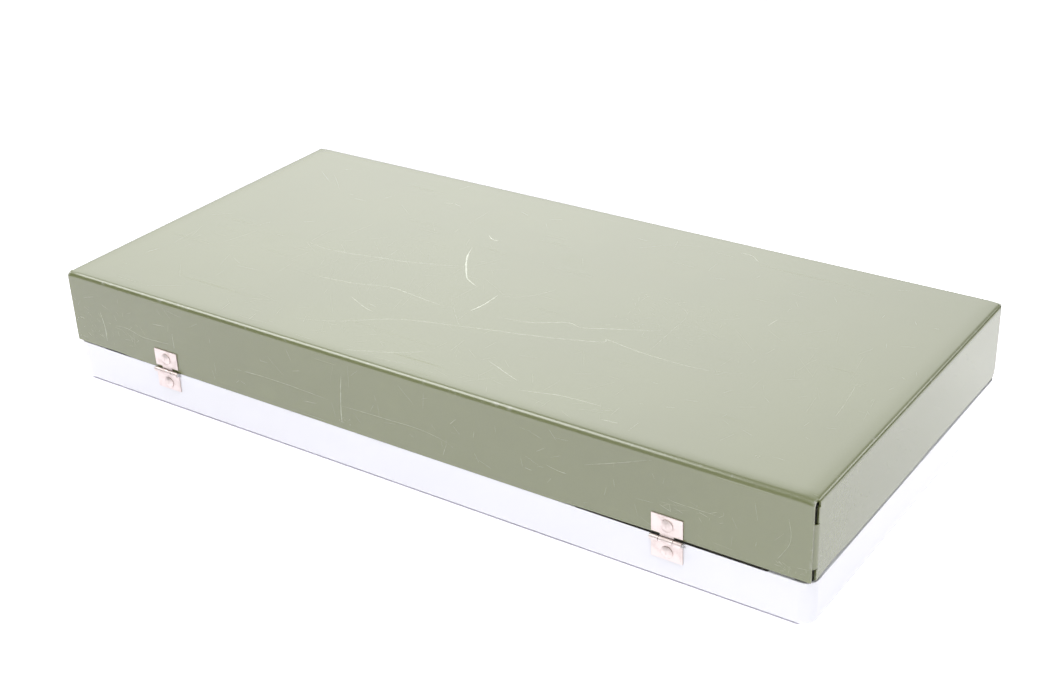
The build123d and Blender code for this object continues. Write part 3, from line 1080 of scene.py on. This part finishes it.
@dataclass(frozen=True)
class Crease:
    """How the top leans into a fold: gently over a lead, then in a round, in metres and degrees."""

    lead: float
    lean: float
    radius: float
    lead_steps: int = 5
    round_steps: int = 9

    @property
    def reach(self) -> float:
        """Give the distance from the wall's face at which the round starts."""
        return self.radius * (1.0 - math.sin(math.radians(self.lean)))

    def sag(self, away: float) -> float:
        """Give how far the lead has dropped at a distance from the wall's face."""
        inside = min(max(self.reach + self.lead - away, 0.0), self.lead)
        return 0.5 * math.tan(math.radians(self.lean)) * inside * inside / self.lead

    def leads(self) -> list[float]:
        """Give the distances of the lines across the lead, from the start of the round."""
        return [self.reach + self.lead * i / self.lead_steps for i in range(self.lead_steps + 1)]

    def round(self) -> list[Pair]:
        """Give the points of the round after its start: distance from the wall's face, and drop.

        Returns:
            The points, from the top down.
        """
        lean = math.radians(self.lean)
        turns = [lean + (math.pi / 2 - lean) * (i + 1) / self.round_steps for i in range(self.round_steps)]
        start = self.sag(self.reach) + self.radius * math.cos(lean)
        return [(self.radius * (1.0 - math.sin(t)), start - self.radius * math.cos(t)) for t in turns]


@dataclass
class LidSheet:
    """The folded sheet: a top, four folds, four walls, and turned edges and tabs at the open corners."""

    length: float = BOX_LENGTH
    width: float = BOX_WIDTH
    top: float = LID_TOP
    edge: float = LID_EDGE
    sheet: float = 0.8 * MM
    long_fold: Crease = Crease(lead=5.0 * MM, lean=3.5, radius=2.6 * MM)
    end_fold: Crease = Crease(lead=7.0 * MM, lean=5.0, radius=2.2 * MM)
    long_gap: float = 1.0 * MM
    end_gap: float = 3.3 * MM
    tab_length: float = 14.0 * MM
    tab_clearance: float = 0.2 * MM
    tab_turn: float = 90.0
    edge_turn: float = 22.0
    turn_steps: int = 5
    front_corner: float = 3.0 * MM
    end_corner: float = 5.0 * MM
    line_pitch: float = 0.025
    line_clear: float = 0.2 * MM
    line_digits: int = 6
    bend_parts: int = 3
    bent_top: float = 0.0324
    turned_top: float = 0.0542
    slits: tuple[float, ...] = (0.0472, 0.0468, 0.0262, 0.0258)
    other_lines: tuple[float, ...] = (0.0405, 0.0324, 0.0285, 0.0232)
    corner_lines: tuple[float, ...] = (0.0, 0.1, 0.3, 0.6, 1.0)
    spots: dict[tuple[int, ...], Any] = field(default_factory=dict)

    @staticmethod
    def ease(value: float) -> float:
        """Go smoothly from 0 to 1, and stay there outside."""
        share = min(1.0, max(0.0, value))
        return share * share * (3.0 - 2.0 * share)

    @staticmethod
    def rounded(away: float, radius: float) -> float:
        """Give how far a lower corner of a radius is cut back at a distance from the end of its wall."""
        inside = max(radius - away, 0.0)
        return radius - math.sqrt(radius * radius - inside * inside)

    def bent(self, profile: Stroke, place: float) -> float:
        """Read a profile of bends at one place along a wall.

        Args:
            profile: Places in falling order and the bend at each, in millimetres.
            place: Where to read, in metres.

        Returns:
            The bend in metres.
        """
        place /= MM
        for (start, low), (end, high) in zip(profile, profile[1:]):
            if start >= place >= end:
                return MM * (low + (high - low) * self.ease((start - place) / (start - end)))
        return 0.0

    def cuts(self, profile: Stroke) -> list[float]:
        """Give the places of a profile and the places between them, in metres.

        Args:
            profile: Places in falling order and the bend at each, in millimetres.

        Returns:
            The places.
        """
        pairs = zip(profile, profile[1:])
        parts = self.bend_parts
        return [MM * (a + (b - a) * i / parts) for (a, _), (b, _) in pairs for i in range(parts)]

    def lines(self, half: float, fold: Crease, end: float, profile: Stroke, corner: float) -> list[float]:
        """Give the places of the lines across the sheet in one direction.

        Args:
            half: Half the size of the box in that direction.
            fold: The fold at both ends.
            end: Where the walls that run in that direction end.
            profile: Bends of such a wall.
            corner: Radius of its lower corners.

        Returns:
            The places, in rising order.
        """
        steps = int(half / self.line_pitch)
        away = [half - self.line_pitch * i for i in range(steps + 1)]
        away += [half - end + corner * share for share in self.corner_lines]
        near = half - fold.reach - fold.lead
        flat = [half - a for a in away] + [abs(c) for c in self.cuts(profile)]
        kept = [p for p in flat if p < near - self.line_clear] + [half - a for a in fold.leads()]
        kept += [p for p in flat[steps + 1:] if near <= p <= end + TOUCH]
        both = {round(side * p, self.line_digits) for p in kept for side in (-1, 1)}
        return sorted(both)

    def wall(self, ground: float) -> list[float]:
        """Give the heights of the lines on a wall whose lower edge is at a height, from the top down.

        Args:
            ground: Height of the lower edge.

        Returns:
            The heights.
        """
        fixed = sorted((self.turned_top, *self.slits, *self.other_lines, self.edge), reverse=True)
        squeeze = (self.bent_top - ground) / (self.bent_top - self.edge)
        return [z if z > self.bent_top else self.bent_top - (self.bent_top - z) * squeeze for z in fixed]

    def long_ground(self, x: float, side: int) -> float:
        """Give the height of a long wall's lower edge.

        Args:
            x: The place along the box.
            side: 1 for the hinge wall, -1 for the front wall.

        Returns:
            The height.
        """
        away = self.length / 2 - self.long_gap - abs(x)
        if side > 0:
            return self.edge + self.bent(HINGE_WALL_EDGE, x)
        return self.edge + self.rounded(away, self.front_corner)

    def end_ground(self, y: float, side: int) -> float:
        """Give the height of an end wall's lower edge.

        Args:
            y: The place across the box.
            side: 1 for the right end, -1 for the left end.

        Returns:
            The height.
        """
        away = self.width / 2 - self.end_gap - abs(y)
        bend = self.bent(END_WALL_EDGE, y) if side < 0 else 0.0
        return self.edge + max(bend, self.rounded(away, self.end_corner) if y < 0 else 0.0)

    def drop(self, x: float, y: float) -> float:
        """Give how far the top lies below its middle at a place."""
        return self.end_fold.sag(self.length / 2 - abs(x)) + self.long_fold.sag(self.width / 2 - abs(y))

    def section(self, x: float, rows: Sequence[float]) -> list[Vector]:
        """Give the points of the sheet across the box, from the front edge to the hinge edge.

        Args:
            x: The place along the box.
            rows: Places of the lines across the top.

        Returns:
            The points.
        """
        half = self.width / 2
        droop = self.end_fold.sag(self.length / 2 - abs(x))
        fall = {}
        for side in (-1, 1):
            curve = self.long_fold.round()
            fall[side] = [Vector((x, side * (half - a), self.top - b - droop)) for a, b in curve]
            fall[side] += [Vector((x, side * half, z)) for z in self.wall(self.long_ground(x, side))]
        across = [Vector((x, y, self.top - self.drop(x, y))) for y in rows]
        return [*reversed(fall[-1]), *across, *fall[1]]

    def end_section(self, y: float, side: int) -> list[Vector]:
        """Give the points of one end of the sheet at a place across the box, from the top down.

        Args:
            y: The place across the box.
            side: 1 for the right end, -1 for the left end.

        Returns:
            The points.
        """
        half = self.length / 2
        droop = self.long_fold.sag(self.width / 2 - abs(y))
        start = half - self.end_fold.reach
        points = [Vector((side * start, y, self.top - self.drop(start, y)))]
        points += [Vector((side * (half - a), y, self.top - b - droop)) for a, b in self.end_fold.round()]
        return points + [Vector((side * half, y, z)) for z in self.wall(self.end_ground(y, side))]

    def turned(self, z: float, side: int, end: int, turn: float, reach: float) -> list[Vector]:
        """Give the points of an end wall's turned edge or tab at a height, from the wall to its free end.

        Args:
            z: The height.
            side: Which end of the box.
            end: Which end of the wall.
            turn: Angle of the bend in degrees.
            reach: Distance of the free end from the wall's face, or 0 for the end of the bend.

        Returns:
            The points.
        """
        radius = self.end_gap - self.sheet - self.tab_clearance
        start = self.width / 2 - self.end_gap
        points = []
        for step in range(self.turn_steps + 1):
            angle = math.radians(turn) * step / self.turn_steps
            away = self.length / 2 - radius * (1.0 - math.cos(angle))
            points.append(Vector((side * away, end * (start + radius * math.sin(angle)), z)))
        if reach:
            points.append(Vector((side * (self.length / 2 - reach), points[-1].y, z)))
        return points

    def spot(self, work: bmesh.types.BMesh, point: Vector) -> bmesh.types.BMVert:
        """Give the mesh's own point at a place, which is made if there is none yet.

        Args:
            work: The open mesh.
            point: The place.

        Returns:
            The point of the mesh.
        """
        key = tuple(round(c / TOUCH) for c in point)
        if key not in self.spots:
            self.spots[key] = work.verts.new(point)
        return self.spots[key]

    def weave(self, work: bmesh.types.BMesh, rows: Sequence[Sequence[Vector]], holes: float = 0.0) -> None:
        """Fill the quads between rows of points, which share the points that lie at one place.

        Args:
            work: The open mesh.
            rows: The rows.
            holes: Leave out quads beyond this distance along the box, within the end walls' reach.
        """
        inner = self.width / 2 - self.end_gap + TOUCH
        for first, second in zip(rows, rows[1:]):
            for a, b, c, d in zip(first, first[1:], second[1:], second):
                outside = min(abs(a.x), abs(d.x)) > holes - TOUCH
                if holes and outside and max(abs(a.y), abs(b.y)) < inner:
                    continue
                work.faces.new([self.spot(work, p) for p in (a, b, c, d)])

    def corners(self, work: bmesh.types.BMesh) -> None:
        """Add the turned edges and the tabs of the end walls.

        Args:
            work: The open mesh.
        """
        high, tab_high, tab_low, low = self.slits
        bands = (
            (self.turned_top, high, self.edge_turn, 0.0),
            (tab_high, tab_low, self.tab_turn, self.tab_length),
            (low, 0.0, self.edge_turn, 0.0),
        )
        for side in (-1, 1):
            for end in (-1, 1):
                ground = self.end_ground(end * (self.width / 2 - self.end_gap), side)
                heights = list(zip(self.wall(ground), self.wall(self.edge)))
                for start, stop, turn, reach in bands[:2] if end < 0 else bands:
                    chosen = [z for z, plain in heights if start >= plain >= stop]
                    self.weave(work, [self.turned(z, side, end, turn, reach) for z in chosen])

    def build(self) -> bmesh.types.BMesh:
        """Make the sheet with its thickness.

        Returns:
            The open mesh.
        """
        work = bmesh.new()
        half, across = self.length / 2, self.width / 2
        columns = self.lines(half, self.end_fold, half - self.long_gap, HINGE_WALL_EDGE, self.front_corner)
        rows = self.lines(across, self.long_fold, across - self.end_gap, END_WALL_EDGE, self.end_corner)
        self.weave(work, [self.section(x, rows) for x in columns], half - self.end_fold.reach)
        reach = across - self.end_gap + TOUCH
        for side in (-1, 1):
            self.weave(work, [self.end_section(y, side) for y in rows if abs(y) <= reach])
        self.corners(work)
        bmesh.ops.recalc_face_normals(work, faces=work.faces)
        middle = max(work.faces, key=lambda face: face.calc_center_median().z)
        if middle.normal.z < 0.0:
            bmesh.ops.reverse_faces(work, faces=work.faces)
        bmesh.ops.solidify(work, geom=work.faces, thickness=self.sheet)
        return work


FACE_SOCKETS = {
    "Face Point": "NodeSocketVector",
    "Face Normal": "NodeSocketVector",
    "Flatness": "NodeSocketFloat",
}
SCRATCH_SOCKETS = {"Step": "NodeSocketFloat", "Waver": "NodeSocketFloat"}
SCUFF_SOCKETS = {
    "Bow": "NodeSocketFloat",
    "Seed": "NodeSocketInt",
    "Face Low": "NodeSocketVector",
    "Face High": "NodeSocketVector",
}


@dataclass
class PaintedLid:
    """The folded sheet lid in its enamel, with the scratches and the bent edges that use has left."""

    shape: LidSheet = field(default_factory=LidSheet)
    flatness: float = 0.04
    taper: float = 0.22
    tip: float = 0.12
    uneven: Clouds = Clouds(420.0)
    uneven_shares: Pair = (0.45, 1.25)
    scratch_step: float = 1.2 * MM
    scratch_sides: int = 6
    waver: float = 0.5 * MM
    waver_clouds: Clouds = Clouds(160.0)
    scuff_points: int = 8
    scuff_sides: int = 4
    bow: float = 1.5 * MM
    bow_clouds: Clouds = Clouds(55.0, detail=1.0)
    least_width: float = 0.5
    least_paleness: float = 0.3
    least_length: float = 0.3
    margin: float = 2.0 * MM
    slack: float = 1.0 * MM
    seed: int = 7
    enamel: Material = field(init=False)
    torn: Material = field(init=False)

    def __post_init__(self) -> None:
        """Make the two finishes."""
        self.enamel = OliveEnamel().material()
        self.torn = ScratchedEnamel().material()

    def folded_sheet(self) -> Object:
        """Make the sheet in place of its solid, with its edges bent where they are in the photograph."""
        return stand_in(shaded(self.shape.build(), "painted_lid", self.enamel), "lid_shell")

    @staticmethod
    def strokes(name: str, face: Face, marks: Sequence[tuple[Mark, Stroke]]) -> Mesh:
        """Draw the lines of the scratches on one face.

        Args:
            name: Name of the mesh.
            face: The face.
            marks: Depth and points of each scratch, in millimetres on the face.

        Returns:
            A mesh of lines, with the half width and the paleness of each point.
        """
        points: list[Vector] = []
        lines: list[tuple[int, int]] = []
        widths: list[float] = []
        pales: list[float] = []
        for mark, stroke in marks:
            start = len(points)
            points += [face.spot(Vector((x * MM, y * MM, 0.0))) for x, y in stroke]
            lines += [(i, i + 1) for i in range(start, len(points) - 1)]
            half_width, paleness = mark.value
            widths += [half_width * MM] * len(stroke)
            pales += [paleness] * len(stroke)
        mesh = bpy.data.meshes.new(name)
        mesh.from_pydata(points, lines, [])
        for label, values in ((HALF_WIDTH, widths), (PALENESS, pales)):
            mesh.attributes.new(label, "FLOAT", "POINT").data.foreach_set("value", values)
        return mesh

    @staticmethod
    def patches(name: str, face: Face, scuffs: Sequence[ScuffPatch]) -> Mesh:
        """Lay out the patches of one face, each as a rectangle that says what marks it gets.

        Args:
            name: Name of the mesh.
            face: The face.
            scuffs: The patches.

        Returns:
            A mesh with one rectangle for each patch.
        """
        corners = ((-0.5, -0.5), (0.5, -0.5), (0.5, 0.5), (-0.5, 0.5))
        points = []
        for scuff in scuffs:
            for u, v in corners:
                drawn = (scuff.centre[0] + u * scuff.size[0], scuff.centre[1] + v * scuff.size[1], 0.0)
                points.append(face.spot(MM * Vector(drawn)))
        mesh = bpy.data.meshes.new(name)
        starts = range(0, len(points), len(corners))
        mesh.from_pydata(points, [], [tuple(range(i, i + len(corners))) for i in starts])
        area = [s.size[0] * s.size[1] * MM * MM for s in scuffs]
        columns = {
            "density": [s.count / a for s, a in zip(scuffs, area)],
            "mark_length": [s.length * MM for s in scuffs],
            "mark_width": [s.half_width * MM for s in scuffs],
            "mark_paleness": [s.paleness for s in scuffs],
        }
        for label, values in columns.items():
            mesh.attributes.new(label, "FLOAT", "FACE").data.foreach_set("value", values)
        return mesh

    @staticmethod
    def trimmed(recipe: Recipe, mesh: NodeSocket) -> NodeSocket:
        """Leave out the strips that run off the face.

        Args:
            recipe: The tree.
            mesh: The strips.

        Returns:
            The strips that are left.
        """
        place = recipe.add("GeometryNodeInputPosition")
        below = recipe.vector("SUBTRACT", recipe.given["Face Low"], place)
        above = recipe.vector("SUBTRACT", place, recipe.given["Face High"])
        off = recipe.vector("MAXIMUM", recipe.vector("MAXIMUM", below, above), (0.0, 0.0, 0.0))
        strip = recipe.add("GeometryNodeInputMeshIsland", out="Island Index")
        sockets = {"Value": recipe.length(off), "Group ID": strip}
        total = recipe.add(
            "GeometryNodeAccumulateField", sockets, out="Total", data_type="FLOAT", domain="POINT")
        lost = recipe.math("GREATER_THAN", total, WELD)
        sockets = {"Geometry": mesh, "Selection": lost}
        return recipe.add("GeometryNodeDeleteGeometry", sockets, domain="POINT")

    def strips(self, recipe: Recipe, curve: NodeSocket, sides: int) -> NodeSocket:
        """Turn lines of a half width into tapering strips, pressed flat on the face.

        Args:
            recipe: The tree.
            curve: The lines.
            sides: Sides of a strip's section before it is pressed flat.

        Returns:
            The strips.
        """
        share = recipe.add("GeometryNodeSplineParameter", out="Factor")
        from_tip = recipe.math("MINIMUM", share, recipe.math("SUBTRACT", 1.0, share))
        taper = recipe.ramp(from_tip, 0.0, self.taper, self.tip, 1.0)
        place = recipe.add("GeometryNodeInputPosition")
        uneven = recipe.fade(recipe.noise(place, self.uneven), self.uneven, *self.uneven_shares)
        width = recipe.math("MULTIPLY", recipe.named(HALF_WIDTH), recipe.math("MULTIPLY", taper, uneven))
        ring = recipe.add("GeometryNodeCurvePrimitiveCircle", {"Resolution": sides, "Radius": 1.0})
        sockets = {"Curve": curve, "Profile Curve": ring, "Scale": width, "Fill Caps": True}
        mesh = recipe.add("GeometryNodeCurveToMesh", sockets)
        normal = recipe.given["Face Normal"]
        height = recipe.along(recipe.vector("SUBTRACT", place, recipe.given["Face Point"]), normal)
        height = recipe.math("MULTIPLY", height, recipe.math("SUBTRACT", recipe.given["Flatness"], 1.0))
        press = recipe.scaled(normal, height)
        return recipe.add("GeometryNodeSetPosition", {"Geometry": mesh, "Offset": press})

    def scratch_recipe(self) -> Recipe:
        """Make the tree that turns drawn lines into wavering scratches on a face.

        Returns:
            The tree.
        """
        recipe = Recipe("scratch_strips", {**FACE_SOCKETS, **SCRATCH_SOCKETS})
        curve = recipe.add("GeometryNodeMeshToCurve", {"Mesh": recipe.given["Geometry"]})
        curve = recipe.add("GeometryNodeCurveSplineType", {"Curve": curve}, spline_type="CATMULL_ROM")
        sockets = {"Curve": curve, "Length": recipe.given["Step"]}
        curve = recipe.add("GeometryNodeResampleCurve", sockets, mode="LENGTH")
        shake = recipe.wander(self.waver_clouds, recipe.given["Waver"])
        curve = recipe.add("GeometryNodeSetPosition", {"Geometry": curve, "Offset": shake})
        recipe.close(self.strips(recipe, curve, self.scratch_sides))
        return recipe

    def strewn(self, recipe: Recipe) -> NodeSocket:
        """Strew straight lines over the patches of a face, each with a half width and a paleness.

        Args:
            recipe: The tree.

        Returns:
            The lines.
        """
        sockets = {
            "Mesh": recipe.given["Geometry"],
            "Density": recipe.named("density"),
            "Seed": recipe.given["Seed"],
        }
        spots = recipe.add("GeometryNodeDistributePointsOnFaces", sockets, out="Points")
        facing = spots.node.outputs["Rotation"]
        for label, column, least, turn in (
            (HALF_WIDTH, "mark_width", self.least_width, Chance.WIDTH),
            (PALENESS, "mark_paleness", self.least_paleness, Chance.PALENESS),
        ):
            value = recipe.lessened(recipe.named(column), least, turn.value)
            sockets = {"Geometry": spots, "Name": label, "Value": value}
            spots = recipe.add(
                "GeometryNodeStoreNamedAttribute", sockets, data_type="FLOAT", domain="POINT")
        sockets = {"Start": (-0.5, 0.0, 0.0), "End": (0.5, 0.0, 0.0)}
        line = recipe.add("GeometryNodeCurvePrimitiveLine", sockets)
        line = recipe.add("GeometryNodeResampleCurve", {"Curve": line, "Count": self.scuff_points})
        angle = recipe.chance(0.0, math.tau, Chance.DIRECTION.value)
        spin = recipe.add("ShaderNodeCombineXYZ", {"Z": angle})
        spin = recipe.add("FunctionNodeEulerToRotation", {"Euler": spin})
        sockets = {"Rotation": facing, "Rotate By": spin}
        spin = recipe.add("FunctionNodeRotateRotation", sockets, rotation_space="LOCAL")
        reach = recipe.lessened(recipe.named("mark_length"), self.least_length, Chance.LENGTH.value)
        size = recipe.add("ShaderNodeCombineXYZ", {"X": reach, "Y": 1.0, "Z": 1.0})
        sockets = {"Points": spots, "Instance": line, "Rotation": spin, "Scale": size}
        marks = recipe.add("GeometryNodeInstanceOnPoints", sockets)
        return recipe.add("GeometryNodeRealizeInstances", {"Geometry": marks})

    def scuff_recipe(self) -> Recipe:
        """Make the tree that strews fine bowed marks over the patches of a face.

        Returns:
            The tree.
        """
        recipe = Recipe("strewn_marks", {**FACE_SOCKETS, **SCUFF_SOCKETS})
        normal = recipe.given["Face Normal"]
        bow = recipe.wander(self.bow_clouds, recipe.given["Bow"])
        lift = recipe.scaled(normal, recipe.along(bow, normal))
        sockets = {"Geometry": self.strewn(recipe), "Offset": recipe.vector("SUBTRACT", bow, lift)}
        curve = recipe.add("GeometryNodeSetPosition", sockets)
        recipe.close(self.trimmed(recipe, self.strips(recipe, curve, self.scuff_sides)))
        return recipe

    def limits(self, face: Face) -> dict[str, Triple]:
        """Give the lowest and highest corner of the space for the fine marks of a face.

        Args:
            face: The face.

        Returns:
            The two corners, by the names of their inputs.
        """
        shape = self.shape
        ends, walls, up = face.value
        half, across = shape.length / 2, shape.width / 2
        x = half + self.slack if ends else half - self.margin
        y = across + self.slack if walls else across - shape.end_gap - self.margin
        low = shape.bent_top if up else shape.edge + self.margin
        high = shape.top + self.slack if up else shape.turned_top
        return {"Face Low": (-x, -y, low), "Face High": (x, y, high)}

    def mark(self, recipe: Recipe, name: str, face: Face, source: Mesh, values: dict[str, Any]) -> Object:
        """Make the marks of one kind on one face, where they follow the lean of the top.

        Args:
            recipe: The tree that makes them.
            name: Name of the piece.
            face: The face.
            source: The drawn lines or patches.
            values: Inputs of the tree besides those of the face.

        Returns:
            The piece.
        """
        shared = {"Face Point": face.centre, "Face Normal": face.value, "Flatness": self.flatness}
        piece = recipe.run(name, source, {**shared, **values, "Finish": self.torn})
        if face is Face.TOP:
            for vertex in piece.data.vertices:
                vertex.co.z -= self.shape.drop(vertex.co.x, vertex.co.y)
        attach(piece, "lid")
        return piece

    def build(self) -> list[Object]:
        """Make the lid's pieces: the marks of every face, and the sheet.

        Returns:
            The sheet and the marks.
        """
        scratch, scuff = self.scratch_recipe(), self.scuff_recipe()
        marks = []
        for name, face, scratches in SCRATCHES:
            values = {"Step": self.scratch_step, "Waver": self.waver}
            marks.append(self.mark(scratch, name, face, self.strokes(name, face, scratches), values))
        for number, (name, face, scuffs) in enumerate(SCUFFS):
            values = {"Bow": self.bow, "Seed": self.seed + number, **self.limits(face)}
            marks.append(self.mark(scuff, name, face, self.patches(name, face, scuffs), values))
        return [self.folded_sheet(), *marks]


@dataclass
class MouldedBase:
    """The white moulded base, whose rim falls inwards beside the hinges and whose corners have no lip."""

    half_width: float = BOX_WIDTH / 2
    rim: float = 0.0201
    rim_width: float = 2.4 * MM
    rim_fall: float = 2.0 * MM
    gap_middle: float = 0.1372
    gap_half: float = 0.0435
    corner_x: float = 0.188
    corner_y: float = 0.084
    corner_fall: float = 1.6 * MM
    near: float = 0.1 * MM
    eased: float = 0.2 * MM

    @staticmethod
    def cut(work: bmesh.types.BMesh, x: float = 0.0, y: float = 0.0) -> None:
        """Divide the faces of the base along an upright plane at a distance along or across the box.

        Args:
            work: The open mesh.
            x: Distance of a plane across the length, or 0 for none.
            y: Distance of a plane across the width, or 0 for none.
        """
        everything = [*work.verts, *work.edges, *work.faces]
        normal = (1.0, 0.0, 0.0) if x else (0.0, 1.0, 0.0)
        bmesh.ops.bisect_plane(work, geom=everything, plane_co=(x, y, 0.0), plane_no=normal, dist=TOUCH)

    def open_corners(self, work: bmesh.types.BMesh) -> None:
        """Leave out the lip at the four corners, so that the lid's open seams look into the dark.

        Args:
            work: The open mesh.
        """
        for side in (-1, 1):
            self.cut(work, x=side * self.corner_x)
            self.cut(work, y=side * self.corner_y)
        for vertex in work.verts:
            past = min(abs(vertex.co.x) - self.corner_x, abs(vertex.co.y) - self.corner_y)
            if past > 2 * TOUCH and vertex.co.z > self.rim + self.near:
                vertex.co.z = self.rim - self.corner_fall

    def build(self) -> list[Object]:
        """Make the base from its solid.

        Returns:
            The base, as the only piece.
        """
        work = merged("base_shell")
        for side in (-1, 1):
            for end in (-1, 1):
                self.cut(work, x=side * self.gap_middle + end * self.gap_half)
        self.open_corners(work)
        for vertex in work.verts:
            away = self.half_width - vertex.co.y
            beside = abs(abs(vertex.co.x) - self.gap_middle) < self.gap_half + self.near
            on_rim = away < self.rim_width + self.near and abs(vertex.co.z - self.rim) < TOUCH
            if beside and on_rim:
                vertex.co.z -= self.rim_fall * away / self.rim_width
        piece = shaded(work, "moulded_base", WHITE_MOULDING.material(), self.eased)
        return [stand_in(piece, "base_shell")]


@dataclass
class SlidingTrays:
    """The two ivory trays, with the small rounds that moulding leaves on every edge."""

    eased: float = 0.25 * MM

    def build(self) -> list[Object]:
        """Make the trays from their solids.

        Returns:
            The trays.
        """
        ivory = IVORY_MOULDING.material()
        made = []
        for node in ("left_tray", "right_tray"):
            piece = shaded(merged(node), node + "_moulded", ivory, self.eased)
            made.append(stand_in(piece, node))
        return made


@dataclass
class Fittings:
    """The plated hinges and clasps, their pins, rivets, studs and washers."""

    eased: float = 0.10 * MM
    nickel: Material = field(init=False)
    wire: Material = field(init=False)
    zinc: Material = field(init=False)

    def __post_init__(self) -> None:
        """Make the metals."""
        self.nickel = NICKEL_PLATE.material()
        self.wire = DRAWN_WIRE.material()
        self.zinc = ZINC_PLATE.material()

    def stamping(self, node: str) -> Object:
        """Make one pressed leaf with its edges eased."""
        piece = shaded(merged(node), node + "_plated", self.nickel, self.eased)
        return stand_in(piece, node)

    def build(self) -> list[Object]:
        """Make and dress the fittings.

        Returns:
            The fittings.
        """
        made = []
        for side in ("left", "right"):
            for part in ("hinge_upper_leaf", "hinge_lower_leaf", "clasp_leaf", "clasp_flap"):
                made.append(self.stamping(f"{side}_{part}"))
            made += [dress(f"{side}_{part}", self.wire) for part in ("hinge_pin", "clasp_pin")]
            made.append(dress(f"{side}_clasp_stud", self.nickel))
        for node in ("hinge_base_rivets", "hinge_lid_rivets", "clasp_lid_rivets"):
            made.append(dress(node, self.nickel))
        made.append(dress("base_washers", self.zinc))
        return made


def main() -> None:
    """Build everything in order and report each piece."""
    logging.basicConfig(level=logging.INFO, format="%(message)s")
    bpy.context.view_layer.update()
    PhotoCamera().build()
    Studio().build()
    for assembly in (PaintedLid(), MouldedBase(), SlidingTrays(), Fittings()):
        for piece in assembly.build():
            log.info("%s: %s, %d faces", type(assembly).__name__, piece.name, len(piece.data.polygons))


if __name__ == "__main__":
    main()
